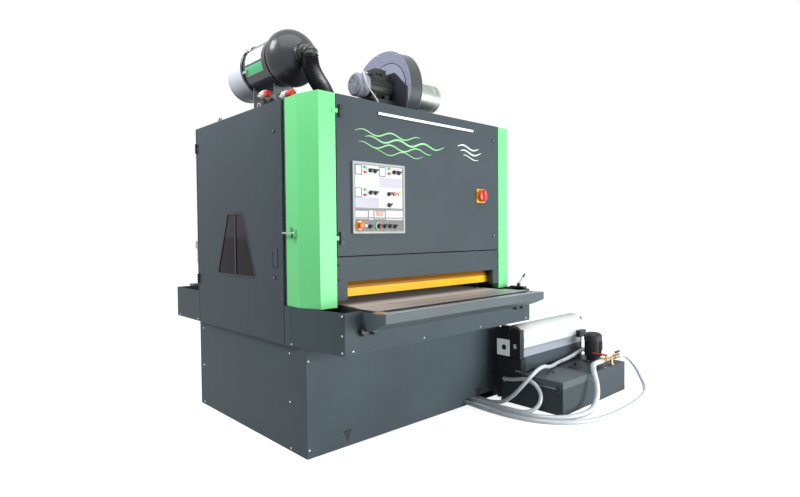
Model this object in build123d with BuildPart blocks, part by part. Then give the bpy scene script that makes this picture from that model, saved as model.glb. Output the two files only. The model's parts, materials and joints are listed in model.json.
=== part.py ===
from build123d import *
import os
from math import radians, tan

# A wet wide-belt finishing machine for sheet metal, with its coolant filter unit.
# Millimetres. X to the right as seen from the infeed side, Y towards the outfeed, Z up.
# The origin is on the floor in the middle of the base.

# Cabinet and base
CABINET_WIDTH = 1911
CABINET_TOP = 2161
BASE_DEPTH = 1525
BED_BOTTOM = 657
SKIRT_HEIGHT = 242
BASE_INSET = 18
SHEET = 4
POST = 80
DOOR_THICKNESS = 30
MOVING_GAP = 6

HALF = CABINET_WIDTH / 2
BASE_HALF = HALF - BASE_INSET
BED_TOP = BED_BOTTOM + SKIRT_HEIGHT
FRONT_OF_BASE = -BASE_DEPTH / 2
BACK_OF_BASE = BASE_DEPTH / 2

# Places along Y, from the front or the back of the base
FACE_Y = FRONT_OF_BASE - 107
SKIRT_FRONT_Y = FRONT_OF_BASE - 317.5
APRON_FRONT_Y = FRONT_OF_BASE - 522.5
CORNER_Y = FRONT_OF_BASE + 157.5
PILLAR_BACK_Y = FRONT_OF_BASE + 188
SIDE_DOOR_FRONT_Y = FRONT_OF_BASE + 213.5
SIDE_DOOR_BACK_Y = BACK_OF_BASE - 44
CABINET_BACK_Y = BACK_OF_BASE - 24
SKIRT_BACK_Y = BACK_OF_BASE + 422
APRON_BACK_Y = BACK_OF_BASE + 627

# Slot for the work, and the front panel round it
SLOT_HALF = HALF - 249
SLOT_TOP = 1046
FRONT_DOOR_BOTTOM = 1203
PASS_LINE = 900

# Green corner pillars
PILLAR_INNER = HALF - 172
PILLAR_CORNER = HALF - 53.5
PILLAR_OUTER = HALF - 10.5
PILLAR_BEND_Y = FRONT_OF_BASE + 50

# Conveyor
BELT_HALF = HALF - 255
BELT_THICKNESS = 6
DRUM_RADIUS = 50
ROLLER_RADIUS = 22
APRON_HALF = HALF - 190
APRON_DROP = 54
APRON_DEPTH = 127

# Abrasive heads
CONTACT_RADIUS = 110
TENSION_RADIUS = 60
GRIT_THICKNESS = 3
HEAD_HALF = BELT_HALF - 15
HEAD_PLACES = (FRONT_OF_BASE + 440, FRONT_OF_BASE + 1040)

os.makedirs("parts", exist_ok=True)


def save(builder, name):
    """Label a finished piece and write its STEP file."""
    builder.part.label = name
    export_step(builder.part, f"parts/{name}.step")


def slab(x_low, x_high, y_low, y_high, z_low, z_high, mode=Mode.ADD):
    """Add a plate between two corners to the part being built, or cut it away."""
    with Locations(((x_low + x_high) / 2, (y_low + y_high) / 2, (z_low + z_high) / 2)):
        Box(x_high - x_low, y_high - y_low, z_high - z_low, mode=mode)


def rod(origin, direction, radius, length):
    """Add a round bar that starts at a point and runs along a direction."""
    with Locations(Plane(origin=origin, z_dir=direction)):
        Cylinder(radius, length, align=(Align.CENTER, Align.CENTER, Align.MIN))


# Base frame: floor plate with a square tube standing on each corner
FLOOR_PLATE = 6
POST_CENTRE_X = BASE_HALF - SHEET - POST / 2
POST_CENTRE_Y = BACK_OF_BASE - SHEET - POST / 2
with BuildPart() as base_frame:
    slab(-BASE_HALF + SHEET, BASE_HALF - SHEET, FRONT_OF_BASE + SHEET, BACK_OF_BASE - SHEET,
         0, FLOOR_PLATE)
    with BuildSketch(Plane.XY.offset(FLOOR_PLATE)):
        with GridLocations(2 * POST_CENTRE_X, 2 * POST_CENTRE_Y, 2, 2):
            Rectangle(POST, POST)
            Rectangle(POST - 12, POST - 12, mode=Mode.SUBTRACT)
    extrude(amount=BED_BOTTOM - FLOOR_PLATE)
save(base_frame, "base_frame")

# Base panels. The front one has a low notch where the coolant hoses go in.
NOTCH_LEFT = BASE_HALF - 460
NOTCH_RIGHT = BASE_HALF - 60
NOTCH_HEIGHT = 50
CORNER_GAP = 1
with BuildPart() as base_panels:
    slab(-BASE_HALF, BASE_HALF, FRONT_OF_BASE, FRONT_OF_BASE + SHEET, 0, BED_BOTTOM)
    with BuildSketch(Plane.XZ.offset(-FRONT_OF_BASE - SHEET)):
        with Locations(((NOTCH_LEFT + NOTCH_RIGHT) / 2, NOTCH_HEIGHT / 2)):
            Rectangle(NOTCH_RIGHT - NOTCH_LEFT, NOTCH_HEIGHT)
    extrude(amount=SHEET, mode=Mode.SUBTRACT)
    slab(-BASE_HALF, BASE_HALF, BACK_OF_BASE - SHEET, BACK_OF_BASE, 0, BED_BOTTOM)
    for sign in (-1, 1):
        edges = sorted((sign * BASE_HALF, sign * (BASE_HALF - SHEET)))
        slab(*edges, FRONT_OF_BASE + SHEET + CORNER_GAP, BACK_OF_BASE - SHEET - CORNER_GAP, 0, BED_BOTTOM)
save(base_panels, "base_panels")

# Bed: the tray floor that reaches past the base
TRAY_EDGE = HALF - DOOR_THICKNESS - MOVING_GAP
SKIRT_FRONT_HALF = HALF - 62
with BuildPart() as bed_tray:
    with BuildSketch(Plane.XY.offset(BED_BOTTOM)):
        with BuildLine():
            Polyline(
                (SKIRT_FRONT_HALF - SHEET, SKIRT_FRONT_Y + SHEET),
                (HALF - SHEET - 1, CORNER_Y),
                (HALF - SHEET - 1, SIDE_DOOR_FRONT_Y - MOVING_GAP),
                (TRAY_EDGE, SIDE_DOOR_FRONT_Y - MOVING_GAP),
                (TRAY_EDGE, SIDE_DOOR_BACK_Y + MOVING_GAP),
                (HALF - SHEET, SIDE_DOOR_BACK_Y + MOVING_GAP),
                (HALF - SHEET, SKIRT_BACK_Y - SHEET),
                (0, SKIRT_BACK_Y - SHEET),
                (0, SKIRT_FRONT_Y + SHEET),
                close=True,
            )
        make_face()
        mirror(about=Plane.YZ)
    extrude(amount=SHEET)
save(bed_tray, "bed_tray")
TRAY_TOP = BED_BOTTOM + SHEET

# Skirt round the bed. The front and rear panels are notched for the table aprons.
SKIRT_NOTCH_BOTTOM = 773
END_PLATE = 4
with BuildPart() as bed_skirt:
    for y_low, width in ((SKIRT_FRONT_Y, SKIRT_FRONT_HALF - SHEET - CORNER_GAP),
                         (SKIRT_BACK_Y - SHEET, HALF - SHEET - CORNER_GAP)):
        with BuildSketch(Plane.XZ.offset(-y_low - SHEET)):
            with BuildLine():
                Polyline(
                    (-width, BED_BOTTOM), (width, BED_BOTTOM), (width, BED_TOP),
                    (APRON_HALF + END_PLATE, BED_TOP), (APRON_HALF + END_PLATE, SKIRT_NOTCH_BOTTOM),
                    (-APRON_HALF - END_PLATE, SKIRT_NOTCH_BOTTOM), (-APRON_HALF - END_PLATE, BED_TOP),
                    (-width, BED_TOP), close=True,
                )
            make_face()
        extrude(amount=SHEET)
    for sign in (-1, 1):
        with BuildSketch(Plane.XY.offset(BED_BOTTOM)):
            with BuildLine():
                Polyline(
                    (sign * SKIRT_FRONT_HALF, SKIRT_FRONT_Y), (sign * HALF, CORNER_Y),
                    (sign * HALF, SIDE_DOOR_FRONT_Y - MOVING_GAP),
                )
                offset(amount=SHEET, side=Side.LEFT if sign > 0 else Side.RIGHT)
            make_face()
        extrude(amount=SKIRT_HEIGHT)
        edges = sorted((sign * HALF, sign * (HALF - SHEET)))
        slab(*edges, SIDE_DOOR_BACK_Y + MOVING_GAP, SKIRT_BACK_Y, BED_BOTTOM, BED_TOP)
save(bed_skirt, "bed_skirt")

# Conveyor: bed, side rails, drums, belt loop and idle rollers
BELT_UNDERSIDE = PASS_LINE - BELT_THICKNESS
DRUM_Z = BELT_UNDERSIDE - DRUM_RADIUS
FRONT_DRUM_Y = SKIRT_FRONT_Y + 27
REAR_DRUM_Y = SKIRT_BACK_Y - 27
RAIL_X = APRON_HALF - 40
RAIL_THICKNESS = 10
AXLE_RADIUS = 10
BEARING_GAP = 0.05
ROLLER_PLACES = (SKIRT_FRONT_Y - 58, SKIRT_FRONT_Y - 132)
REAR_ROLLER_PLACES = (SKIRT_BACK_Y + 58, SKIRT_BACK_Y + 132)
ROLLER_Z = PASS_LINE - 2 - ROLLER_RADIUS
BED_BOX_BOTTOM = 800
COLUMN_RADIUS = 24

with BuildPart() as conveyor_frame:
    slab(-RAIL_X, RAIL_X, FRONT_DRUM_Y + 65, REAR_DRUM_Y - 65, BED_BOX_BOTTOM, BELT_UNDERSIDE - 12)
    for sign in (-1, 1):
        start = RAIL_X if sign > 0 else -RAIL_X - RAIL_THICKNESS
        with BuildSketch(Plane.YZ.offset(start)):
            with BuildLine():
                Polyline(
                    (SKIRT_FRONT_Y - 160, 850), (SKIRT_FRONT_Y + 5, BED_BOX_BOTTOM),
                    (SKIRT_BACK_Y - 5, BED_BOX_BOTTOM), (SKIRT_BACK_Y + 160, 850),
                    (SKIRT_BACK_Y + 160, PASS_LINE - 4), (SKIRT_FRONT_Y - 160, PASS_LINE - 4),
                    close=True,
                )
            make_face()
            with Locations(*[(y, ROLLER_Z) for y in ROLLER_PLACES + REAR_ROLLER_PLACES]):
                Circle(AXLE_RADIUS + BEARING_GAP, mode=Mode.SUBTRACT)
        extrude(amount=RAIL_THICKNESS)
        for column_y in (FRONT_OF_BASE + 250, BACK_OF_BASE - 250):
            rod((sign * (RAIL_X + RAIL_THICKNESS / 2), column_y, TRAY_TOP), (0, 0, 1),
                COLUMN_RADIUS, BED_BOX_BOTTOM - TRAY_TOP)
save(conveyor_frame, "conveyor_frame")

with BuildPart() as conveyor_belt:
    with BuildSketch(Plane.YZ.offset(-BELT_HALF)):
        middle = (FRONT_DRUM_Y + REAR_DRUM_Y) / 2
        run = REAR_DRUM_Y - FRONT_DRUM_Y
        with Locations((middle, DRUM_Z)):
            SlotCenterToCenter(run, 2 * (DRUM_RADIUS + BELT_THICKNESS))
            SlotCenterToCenter(run, 2 * DRUM_RADIUS, mode=Mode.SUBTRACT)
    extrude(amount=2 * BELT_HALF)
save(conveyor_belt, "conveyor_belt")


with BuildPart() as table_rollers:
    for drum_y in (FRONT_DRUM_Y, REAR_DRUM_Y):
        rod((-RAIL_X, drum_y, DRUM_Z), (1, 0, 0), DRUM_RADIUS, 2 * RAIL_X)
    for roller_y in ROLLER_PLACES + REAR_ROLLER_PLACES:
        rod((-BELT_HALF, roller_y, ROLLER_Z), (1, 0, 0), ROLLER_RADIUS, 2 * BELT_HALF)
        rod((-RAIL_X - RAIL_THICKNESS, roller_y, ROLLER_Z), (1, 0, 0), AXLE_RADIUS,
            2 * (RAIL_X + RAIL_THICKNESS))
save(table_rollers, "table_rollers")

# Aprons: the bent nose sheets in front of and behind the table, with their end plates
APRON_SHEET = 4


def apron_profile(skirt_y, tip_y):
    """Outline of an apron's closed side, from the skirt out to its nose."""
    out = 1 if tip_y > skirt_y else -1
    return [
        (skirt_y, SKIRT_NOTCH_BOTTOM), (tip_y - out * 88, 807), (tip_y, PASS_LINE - APRON_DROP),
        (tip_y, PASS_LINE), (tip_y - out * 42, PASS_LINE),
    ]


with BuildPart() as table_aprons:
    for skirt_y, tip_y in ((SKIRT_FRONT_Y, APRON_FRONT_Y), (SKIRT_BACK_Y, APRON_BACK_Y)):
        with BuildSketch(Plane.YZ.offset(-APRON_HALF)):
            with BuildLine():
                Polyline(*apron_profile(skirt_y, tip_y))
                offset(amount=APRON_SHEET, side=Side.LEFT if tip_y > skirt_y else Side.RIGHT)
            make_face()
        extrude(amount=2 * APRON_HALF)
        for start in (-APRON_HALF - END_PLATE + 1, APRON_HALF - 1):
            with BuildSketch(Plane.YZ.offset(start)):
                with BuildLine():
                    Polyline(*apron_profile(skirt_y, tip_y), (skirt_y, PASS_LINE - 10), close=True)
                make_face()
            extrude(amount=END_PLATE)
save(table_aprons, "table_aprons")

# Cabinet posts, behind the pillars and at the rear corners
POST_BOTTOM = TRAY_TOP
CABINET_POST = 76
FRONT_POST_BACK_Y = SIDE_DOOR_FRONT_Y - MOVING_GAP
REAR_POST_FRONT_Y = CABINET_BACK_Y - SHEET - CABINET_POST
PILLAR_SHEET = 3
POST_OUTER = PILLAR_OUTER - PILLAR_SHEET
REAR_POST_OUTER = TRAY_EDGE
ROOF_SHEET = 4
POST_TOP = CABINET_TOP - ROOF_SHEET - 2
with BuildPart() as cabinet_posts:
    for sign in (-1, 1):
        for outer, y_low in ((POST_OUTER, FRONT_POST_BACK_Y - CABINET_POST),
                             (REAR_POST_OUTER, REAR_POST_FRONT_Y)):
            edges = sorted((sign * outer, sign * (outer - CABINET_POST)))
            slab(*edges, y_low, y_low + CABINET_POST, POST_BOTTOM, POST_TOP)
save(cabinet_posts, "cabinet_posts")

# Roof, with the spigot that the suction hose slips over
HOSE_RADIUS = 56
COLLAR = (-HALF + 293, FRONT_OF_BASE + 140)
COLLAR_HEIGHT = 30
with BuildPart() as roof:
    slab(-TRAY_EDGE, TRAY_EDGE, PILLAR_BEND_Y, CABINET_BACK_Y - SHEET,
         POST_TOP, POST_TOP + ROOF_SHEET)
    slab(-PILLAR_INNER + SHEET, PILLAR_INNER - SHEET, FACE_Y + DOOR_THICKNESS + MOVING_GAP,
         PILLAR_BEND_Y, POST_TOP, POST_TOP + ROOF_SHEET)
    rod((*COLLAR, POST_TOP), (0, 0, 1), HOSE_RADIUS + 6, ROOF_SHEET + COLLAR_HEIGHT)
save(roof, "roof")
ROOF_TOP = POST_TOP + ROOF_SHEET

# Rear wall with the outfeed slot and narrow returns round the rear corners
with BuildPart() as rear_wall:
    slab(-HALF, HALF, CABINET_BACK_Y - SHEET, CABINET_BACK_Y, BED_TOP + 1, CABINET_TOP)
    with BuildSketch(Plane.XZ.offset(-CABINET_BACK_Y)):
        with Locations((0, (BED_TOP + SLOT_TOP) / 2)):
            Rectangle(2 * SLOT_HALF, SLOT_TOP - BED_TOP)
    extrude(amount=SHEET, mode=Mode.SUBTRACT)
    for sign in (-1, 1):
        edges = sorted((sign * HALF, sign * (HALF - SHEET)))
        slab(*edges, SIDE_DOOR_BACK_Y + MOVING_GAP, CABINET_BACK_Y - SHEET, BED_TOP + 1, CABINET_TOP)
save(rear_wall, "rear_wall")

# Right side: a fixed cover of the door's size, and the wall that carries the heads
COVER_FRONT_Y = FRONT_POST_BACK_Y
COVER_BACK_Y = SIDE_DOOR_BACK_Y + MOVING_GAP
with BuildPart() as right_cover:
    slab(HALF - DOOR_THICKNESS, HALF, COVER_FRONT_Y, COVER_BACK_Y, BED_BOTTOM, CABINET_TOP)
    with BuildSketch(Plane.YZ.offset(HALF - DOOR_THICKNESS)):
        with Locations(((COVER_FRONT_Y + COVER_BACK_Y) / 2, (BED_BOTTOM + CABINET_TOP) / 2)):
            Rectangle(COVER_BACK_Y - COVER_FRONT_Y - 50, CABINET_TOP - BED_BOTTOM - 50)
    extrude(amount=DOOR_THICKNESS - SHEET, mode=Mode.SUBTRACT)
save(right_cover, "right_cover")

# Green corner pillars, folded sheet round the front posts
with BuildPart() as corner_pillars:
    for sign in (-1, 1):
        with BuildSketch(Plane.XY.offset(BED_TOP)):
            with BuildLine():
                Polyline(
                    (sign * PILLAR_INNER, FACE_Y + 60), (sign * PILLAR_INNER, FACE_Y),
                    (sign * PILLAR_CORNER, FACE_Y), (sign * PILLAR_OUTER, PILLAR_BEND_Y),
                    (sign * PILLAR_OUTER, PILLAR_BACK_Y),
                )
                offset(amount=PILLAR_SHEET, side=Side.RIGHT if sign < 0 else Side.LEFT)
            make_face()
        extrude(amount=CABINET_TOP - BED_TOP)
save(corner_pillars, "corner_pillars")

# Front panel round the infeed slot, and the yellow guard inside it
PANEL_FOLD = 40
PANEL_LEG_BOTTOM = 938
with BuildPart() as slot_panel:
    slab(-PILLAR_INNER, PILLAR_INNER, FACE_Y, FACE_Y + SHEET,
         PANEL_LEG_BOTTOM, FRONT_DOOR_BOTTOM - MOVING_GAP)
    slab(-SLOT_HALF - SHEET, SLOT_HALF + SHEET, FACE_Y, FACE_Y + PANEL_FOLD,
         PANEL_LEG_BOTTOM, SLOT_TOP + SHEET)
    with BuildSketch(Plane.XZ.offset(-FACE_Y - PANEL_FOLD)):
        with Locations((0, (PANEL_LEG_BOTTOM + SLOT_TOP) / 2)):
            Rectangle(2 * SLOT_HALF, SLOT_TOP - PANEL_LEG_BOTTOM)
    extrude(amount=PANEL_FOLD, mode=Mode.SUBTRACT)
save(slot_panel, "slot_panel")

GUARD_Y = FACE_Y + 64
with BuildPart() as slot_guard:
    with BuildSketch(Plane.YZ.offset(-SLOT_HALF - 30)):
        with BuildLine():
            Polyline((GUARD_Y + 20, 950), (GUARD_Y, 950), (GUARD_Y, 1016), (GUARD_Y + 33, SLOT_TOP + 6))
            offset(amount=SHEET, side=Side.RIGHT)
        make_face()
    extrude(amount=2 * SLOT_HALF + 60)
save(slot_guard, "slot_guard")

# Abrasive heads: contact roller below, tension roller above, belt round both, all
# carried by beams that stand out from the drive wall
CONTACT_Z = 950 + GRIT_THICKNESS + CONTACT_RADIUS
TENSION_Z = 1850
HEAD_PLATE = 16
HEAD_BEAM = 90
BEAM_BOTTOM = 1250
BEAM_TOP = 1600
DRIVE_WALL_X = HALF - 155
DRIVE_WALL_THICKNESS = 25
BELT_SLACK = 0.4
with BuildPart() as head_rollers:
    for head_y in HEAD_PLACES:
        rod((-HEAD_HALF, head_y, CONTACT_Z), (1, 0, 0), CONTACT_RADIUS, 2 * HEAD_HALF)
        rod((-HEAD_HALF, head_y, TENSION_Z), (1, 0, 0), TENSION_RADIUS, 2 * HEAD_HALF)
save(head_rollers, "head_rollers")

with BuildPart() as abrasive_belts:
    for head_y in HEAD_PLACES:
        with BuildSketch(Plane.YZ.offset(-HEAD_HALF + 5)):
            for grow, how in ((BELT_SLACK + GRIT_THICKNESS, Mode.ADD), (BELT_SLACK, Mode.SUBTRACT)):
                with BuildLine(mode=Mode.PRIVATE) as loop:
                    CenterArc((head_y, CONTACT_Z), CONTACT_RADIUS + grow, 0, 360)
                    CenterArc((head_y, TENSION_Z), TENSION_RADIUS + grow, 0, 360)
                make_hull(loop.edges(), mode=how)
        extrude(amount=2 * HEAD_HALF - 10)
save(abrasive_belts, "abrasive_belts")

with BuildPart() as head_frames:
    slab(DRIVE_WALL_X, DRIVE_WALL_X + DRIVE_WALL_THICKNESS, FRONT_POST_BACK_Y - CABINET_POST,
         REAR_POST_FRONT_Y, TRAY_TOP, POST_TOP)
    for head_y in HEAD_PLACES:
        edges = (head_y - HEAD_BEAM / 2, head_y + HEAD_BEAM / 2)
        slab(-HEAD_HALF - 1, DRIVE_WALL_X, *edges, BEAM_BOTTOM, BEAM_TOP)
        for plate_x in (-HEAD_HALF - HEAD_PLATE, HEAD_HALF):
            slab(plate_x, plate_x + HEAD_PLATE, *edges, CONTACT_Z - 40, TENSION_Z + 40)
save(head_frames, "head_frames")

# Front door, a folded pan hinged at its left edge
DOOR_EDGE = PILLAR_INNER - MOVING_GAP
DOOR_SKIN = 3
DOOR_RETURN = 25
with BuildPart() as front_door:
    slab(-DOOR_EDGE, DOOR_EDGE, FACE_Y, FACE_Y + DOOR_THICKNESS, FRONT_DOOR_BOTTOM, CABINET_TOP)
    with BuildSketch(Plane.XZ.offset(-FACE_Y - DOOR_THICKNESS)):
        with Locations((0, (FRONT_DOOR_BOTTOM + CABINET_TOP) / 2)):
            Rectangle(2 * (DOOR_EDGE - DOOR_RETURN), CABINET_TOP - FRONT_DOOR_BOTTOM - 2 * DOOR_RETURN)
    extrude(amount=DOOR_THICKNESS - DOOR_SKIN, mode=Mode.SUBTRACT)
save(front_door, "front_door")

# Side door with a tall sight window and a slot for the fingers
WINDOW_Y = FRONT_OF_BASE + 852
WINDOW_BOTTOM = 1045
WINDOW_TOP = 1492
WINDOW_BASE = 600
WINDOW_CROWN = 230
WINDOW_CORNER = 30
SLOT_PULL_Y = FRONT_OF_BASE + 312
SLOT_PULL_Z = 1195
side_door_middle = ((SIDE_DOOR_FRONT_Y + SIDE_DOOR_BACK_Y) / 2, (BED_BOTTOM + CABINET_TOP) / 2)


def window_outline(grow=0):
    """Trapezoid of the sight window in the plane of the side, larger by grow."""
    slope = (WINDOW_BASE - WINDOW_CROWN) / 2 / (WINDOW_TOP - WINDOW_BOTTOM)
    half_low = WINDOW_BASE / 2 + grow * (1 + slope)
    half_high = WINDOW_CROWN / 2 + grow * (1 - slope)
    return [
        (WINDOW_Y - half_low, WINDOW_BOTTOM - grow), (WINDOW_Y + half_low, WINDOW_BOTTOM - grow),
        (WINDOW_Y + half_high, WINDOW_TOP + grow), (WINDOW_Y - half_high, WINDOW_TOP + grow),
    ]


with BuildPart() as side_door:
    slab(-HALF, -HALF + DOOR_THICKNESS, SIDE_DOOR_FRONT_Y, SIDE_DOOR_BACK_Y, BED_BOTTOM, CABINET_TOP)
    with BuildSketch(Plane.YZ.offset(-HALF + DOOR_SKIN)):
        with Locations(side_door_middle):
            Rectangle(SIDE_DOOR_BACK_Y - SIDE_DOOR_FRONT_Y - 2 * DOOR_RETURN,
                      CABINET_TOP - BED_BOTTOM - 2 * DOOR_RETURN)
    extrude(amount=DOOR_THICKNESS - DOOR_SKIN, mode=Mode.SUBTRACT)
    with BuildSketch(Plane.YZ.offset(-HALF)):
        with BuildLine():
            FilletPolyline(*window_outline(), radius=WINDOW_CORNER, close=True)
        make_face()
        with Locations((SLOT_PULL_Y, SLOT_PULL_Z)):
            SlotOverall(95, 20, rotation=90)
    extrude(amount=DOOR_THICKNESS, mode=Mode.SUBTRACT)
save(side_door, "side_door")

PANE = 6
with BuildPart() as side_window:
    with BuildSketch(Plane.YZ.offset(-HALF + DOOR_SKIN)):
        with BuildLine():
            FilletPolyline(*window_outline(20), radius=WINDOW_CORNER + 20, close=True)
        make_face()
    extrude(amount=PANE)
save(side_window, "side_window")

# Hinges: fixed leaves and middle knuckles on the cabinet, the other knuckles on the doors
KNUCKLE_RADIUS = 7
KNUCKLE_GAP = 0.6
HINGE_HEIGHT = 74
LEAF = 3
FRONT_AXIS = (-PILLAR_INNER + 26, FACE_Y - KNUCKLE_RADIUS)
SIDE_AXIS = (-HALF - KNUCKLE_RADIUS, SIDE_DOOR_BACK_Y + MOVING_GAP / 2)
FRONT_HINGE_PLACES = (2060, 1310)
SIDE_HINGE_PLACES = (2007, 997)
third = HINGE_HEIGHT / 3

with BuildPart() as fixed_hinges:
    for axis, places in ((FRONT_AXIS, FRONT_HINGE_PLACES), (SIDE_AXIS, SIDE_HINGE_PLACES)):
        for height in places:
            rod((*axis, height - third / 2 + KNUCKLE_GAP), (0, 0, 1), KNUCKLE_RADIUS,
                third - 2 * KNUCKLE_GAP)
    for height in FRONT_HINGE_PLACES:
        slab(FRONT_AXIS[0] - 52, FRONT_AXIS[0], FACE_Y - LEAF, FACE_Y,
             height - third / 2 + KNUCKLE_GAP, height + third / 2 - KNUCKLE_GAP)
    for height in SIDE_HINGE_PLACES:
        slab(-HALF - LEAF, -HALF, SIDE_AXIS[1], CABINET_BACK_Y,
             height - third / 2 + KNUCKLE_GAP, height + third / 2 - KNUCKLE_GAP)
save(fixed_hinges, "fixed_hinges")

# Door fittings: the doors' own knuckles and leaves, quarter-turn locks, finger cup, window rim
LOCK_RADIUS = 12
LOCK_HEIGHT = 5
WINDOW_RIM = 14
RIM_PROUD = 2
MULLION = 18
with BuildPart() as front_door_fittings:
    for height in FRONT_HINGE_PLACES:
        for middle in (height - third, height + third):
            rod((*FRONT_AXIS, middle - third / 2), (0, 0, 1), KNUCKLE_RADIUS, third)
            slab(FRONT_AXIS[0], FRONT_AXIS[0] + 30, FACE_Y - LEAF, FACE_Y,
                 middle - third / 2, middle + third / 2)
    for x, z in ((HALF - 240, 2047), (HALF - 236, 1313)):
        rod((x, FACE_Y, z), (0, -1, 0), LOCK_RADIUS, LOCK_HEIGHT)
save(front_door_fittings, "front_door_fittings")

with BuildPart() as side_door_fittings:
    for height in SIDE_HINGE_PLACES:
        for middle in (height - third, height + third):
            rod((*SIDE_AXIS, middle - third / 2), (0, 0, 1), KNUCKLE_RADIUS, third)
            slab(-HALF - LEAF, -HALF, SIDE_AXIS[1] - 34, SIDE_AXIS[1],
                 middle - third / 2, middle + third / 2)
    for y, z in ((FRONT_OF_BASE + 302, 1978), (FRONT_OF_BASE + 314, 1066)):
        rod((-HALF, y, z), (-1, 0, 0), LOCK_RADIUS, LOCK_HEIGHT)
    with BuildSketch(Plane.YZ.offset(-HALF + DOOR_SKIN)):
        with Locations((SLOT_PULL_Y, SLOT_PULL_Z)):
            SlotOverall(115, 40, rotation=90)
    extrude(amount=20)
    with BuildSketch(Plane.YZ.offset(-HALF + DOOR_SKIN)):
        with Locations((SLOT_PULL_Y, SLOT_PULL_Z)):
            SlotOverall(107, 32, rotation=90)
    extrude(amount=17, mode=Mode.SUBTRACT)
    with BuildSketch(Plane.YZ.offset(-HALF - RIM_PROUD)):
        with BuildLine():
            FilletPolyline(*window_outline(-0.5), radius=WINDOW_CORNER, close=True)
        make_face()
        with BuildLine():
            FilletPolyline(*window_outline(-WINDOW_RIM), radius=WINDOW_CORNER - WINDOW_RIM, close=True)
        make_face(mode=Mode.SUBTRACT)
        with Locations((WINDOW_Y, (WINDOW_BOTTOM + WINDOW_TOP) / 2)):
            Rectangle(MULLION, WINDOW_TOP - WINDOW_BOTTOM - 4)
    extrude(amount=DOOR_SKIN + RIM_PROUD)
save(side_door_fittings, "side_door_fittings")

# Light bar along the top of the front door
with BuildPart() as light_bar:
    with BuildSketch(Plane.XZ.offset(-FACE_Y)):
        with Locations((8, 2089)):
            Rectangle(934, 25)
    extrude(amount=8)
save(light_bar, "light_bar")

# Control panel: a frame on the front door with two fields and a lower strip
PANEL_LEFT = -HALF + 286
PANEL_RIGHT = PANEL_LEFT + 430
PANEL_BOTTOM = 1336
PANEL_TOP = 1776
PANEL_DEPTH = 14
PANEL_RIM = 18
STRIP_TOP = 1430
DISPLAY_TOP = 1488
panel_middle = ((PANEL_LEFT + PANEL_RIGHT) / 2, (PANEL_BOTTOM + PANEL_TOP) / 2)
with BuildPart() as control_panel:
    with BuildSketch(Plane.XZ.offset(-FACE_Y)):
        with Locations(panel_middle):
            RectangleRounded(PANEL_RIGHT - PANEL_LEFT, PANEL_TOP - PANEL_BOTTOM, 6)
    extrude(amount=PANEL_DEPTH)
    with BuildSketch(Plane.XZ.offset(-FACE_Y + PANEL_DEPTH)):
        for low, high in ((DISPLAY_TOP + 8, PANEL_TOP - PANEL_RIM), (STRIP_TOP + 8, DISPLAY_TOP),
                          (PANEL_BOTTOM + PANEL_RIM, STRIP_TOP)):
            with Locations((panel_middle[0], (low + high) / 2)):
                Rectangle(PANEL_RIGHT - PANEL_LEFT - 2 * PANEL_RIM, high - low)
    extrude(amount=-4, mode=Mode.SUBTRACT)
save(control_panel, "control_panel")
FIELD_Y = FACE_Y - PANEL_DEPTH + 4

# Round operators on the panel: place from the panel's lower left corner, radius, depth
KNOBS = ((165, 390), (207, 388), (345, 390), (392, 390), (172, 222), (214, 222), (318, 222),
         (318, 132), (178, 48), (282, 48), (336, 48), (378, 48))
BUTTONS = ((118, 408), (118, 374), (300, 406), (300, 372), (116, 240), (116, 206), (350, 222),
           (392, 222), (232, 48))
KNOB_RADIUS = 12
KNOB_COLLAR = 10
KNOB_DEPTH = 30
with BuildPart() as panel_knobs:
    for x, z in KNOBS:
        centre = (PANEL_LEFT + x, FIELD_Y, PANEL_BOTTOM + z)
        rod(centre, (0, -1, 0), KNOB_RADIUS, KNOB_COLLAR)
        slab(centre[0] - 4, centre[0] + 4, FIELD_Y - KNOB_DEPTH, FIELD_Y - KNOB_COLLAR,
             centre[2] - KNOB_RADIUS + 1, centre[2] + KNOB_RADIUS - 1)
save(panel_knobs, "panel_knobs")

with BuildPart() as panel_buttons:
    for x, z in BUTTONS:
        rod((PANEL_LEFT + x, FIELD_Y, PANEL_BOTTOM + z), (0, -1, 0), 12, 12)
save(panel_buttons, "panel_buttons")

STOP_X = PANEL_LEFT + 70
STOP_Z = PANEL_BOTTOM + 52
stop_plane = Plane(origin=(STOP_X, FIELD_Y, STOP_Z), x_dir=(1, 0, 0), z_dir=(0, 0, -1))
with BuildPart() as emergency_stop:
    with BuildSketch(stop_plane):
        with BuildLine():
            Polyline((0, 0), (24, 0), (24, 5), (11, 5), (11, 20), (19, 22), (20, 30), (12, 36), (0, 37),
                     close=True)
        make_face()
    revolve(axis=Axis((STOP_X, FIELD_Y, STOP_Z), (0, 1, 0)))
save(emergency_stop, "emergency_stop")

# Main switch: yellow plate and a handle that turns a quarter
SWITCH_X = 559
SWITCH_Z = 1613
with BuildPart() as main_switch_plate:
    with BuildSketch(Plane.XZ.offset(-FACE_Y)):
        with Locations((SWITCH_X, SWITCH_Z)):
            RectangleRounded(96, 102, 6)
    extrude(amount=6)
    rod((SWITCH_X, FACE_Y - 6, SWITCH_Z), (0, -1, 0), 26, 8)
save(main_switch_plate, "main_switch_plate")

HANDLE_GAP = 0.4
with BuildPart() as main_switch_handle:
    with BuildSketch(Plane.XZ.offset(-FACE_Y + 14 + HANDLE_GAP)):
        with Locations((SWITCH_X, SWITCH_Z)):
            Circle(32)
    extrude(amount=10)
    with BuildSketch(Plane.XZ.offset(-FACE_Y + 24 + HANDLE_GAP)):
        with Locations((SWITCH_X, SWITCH_Z)):
            SlotOverall(66, 16, rotation=90)
    extrude(amount=20)
save(main_switch_handle, "main_switch_handle")

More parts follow.
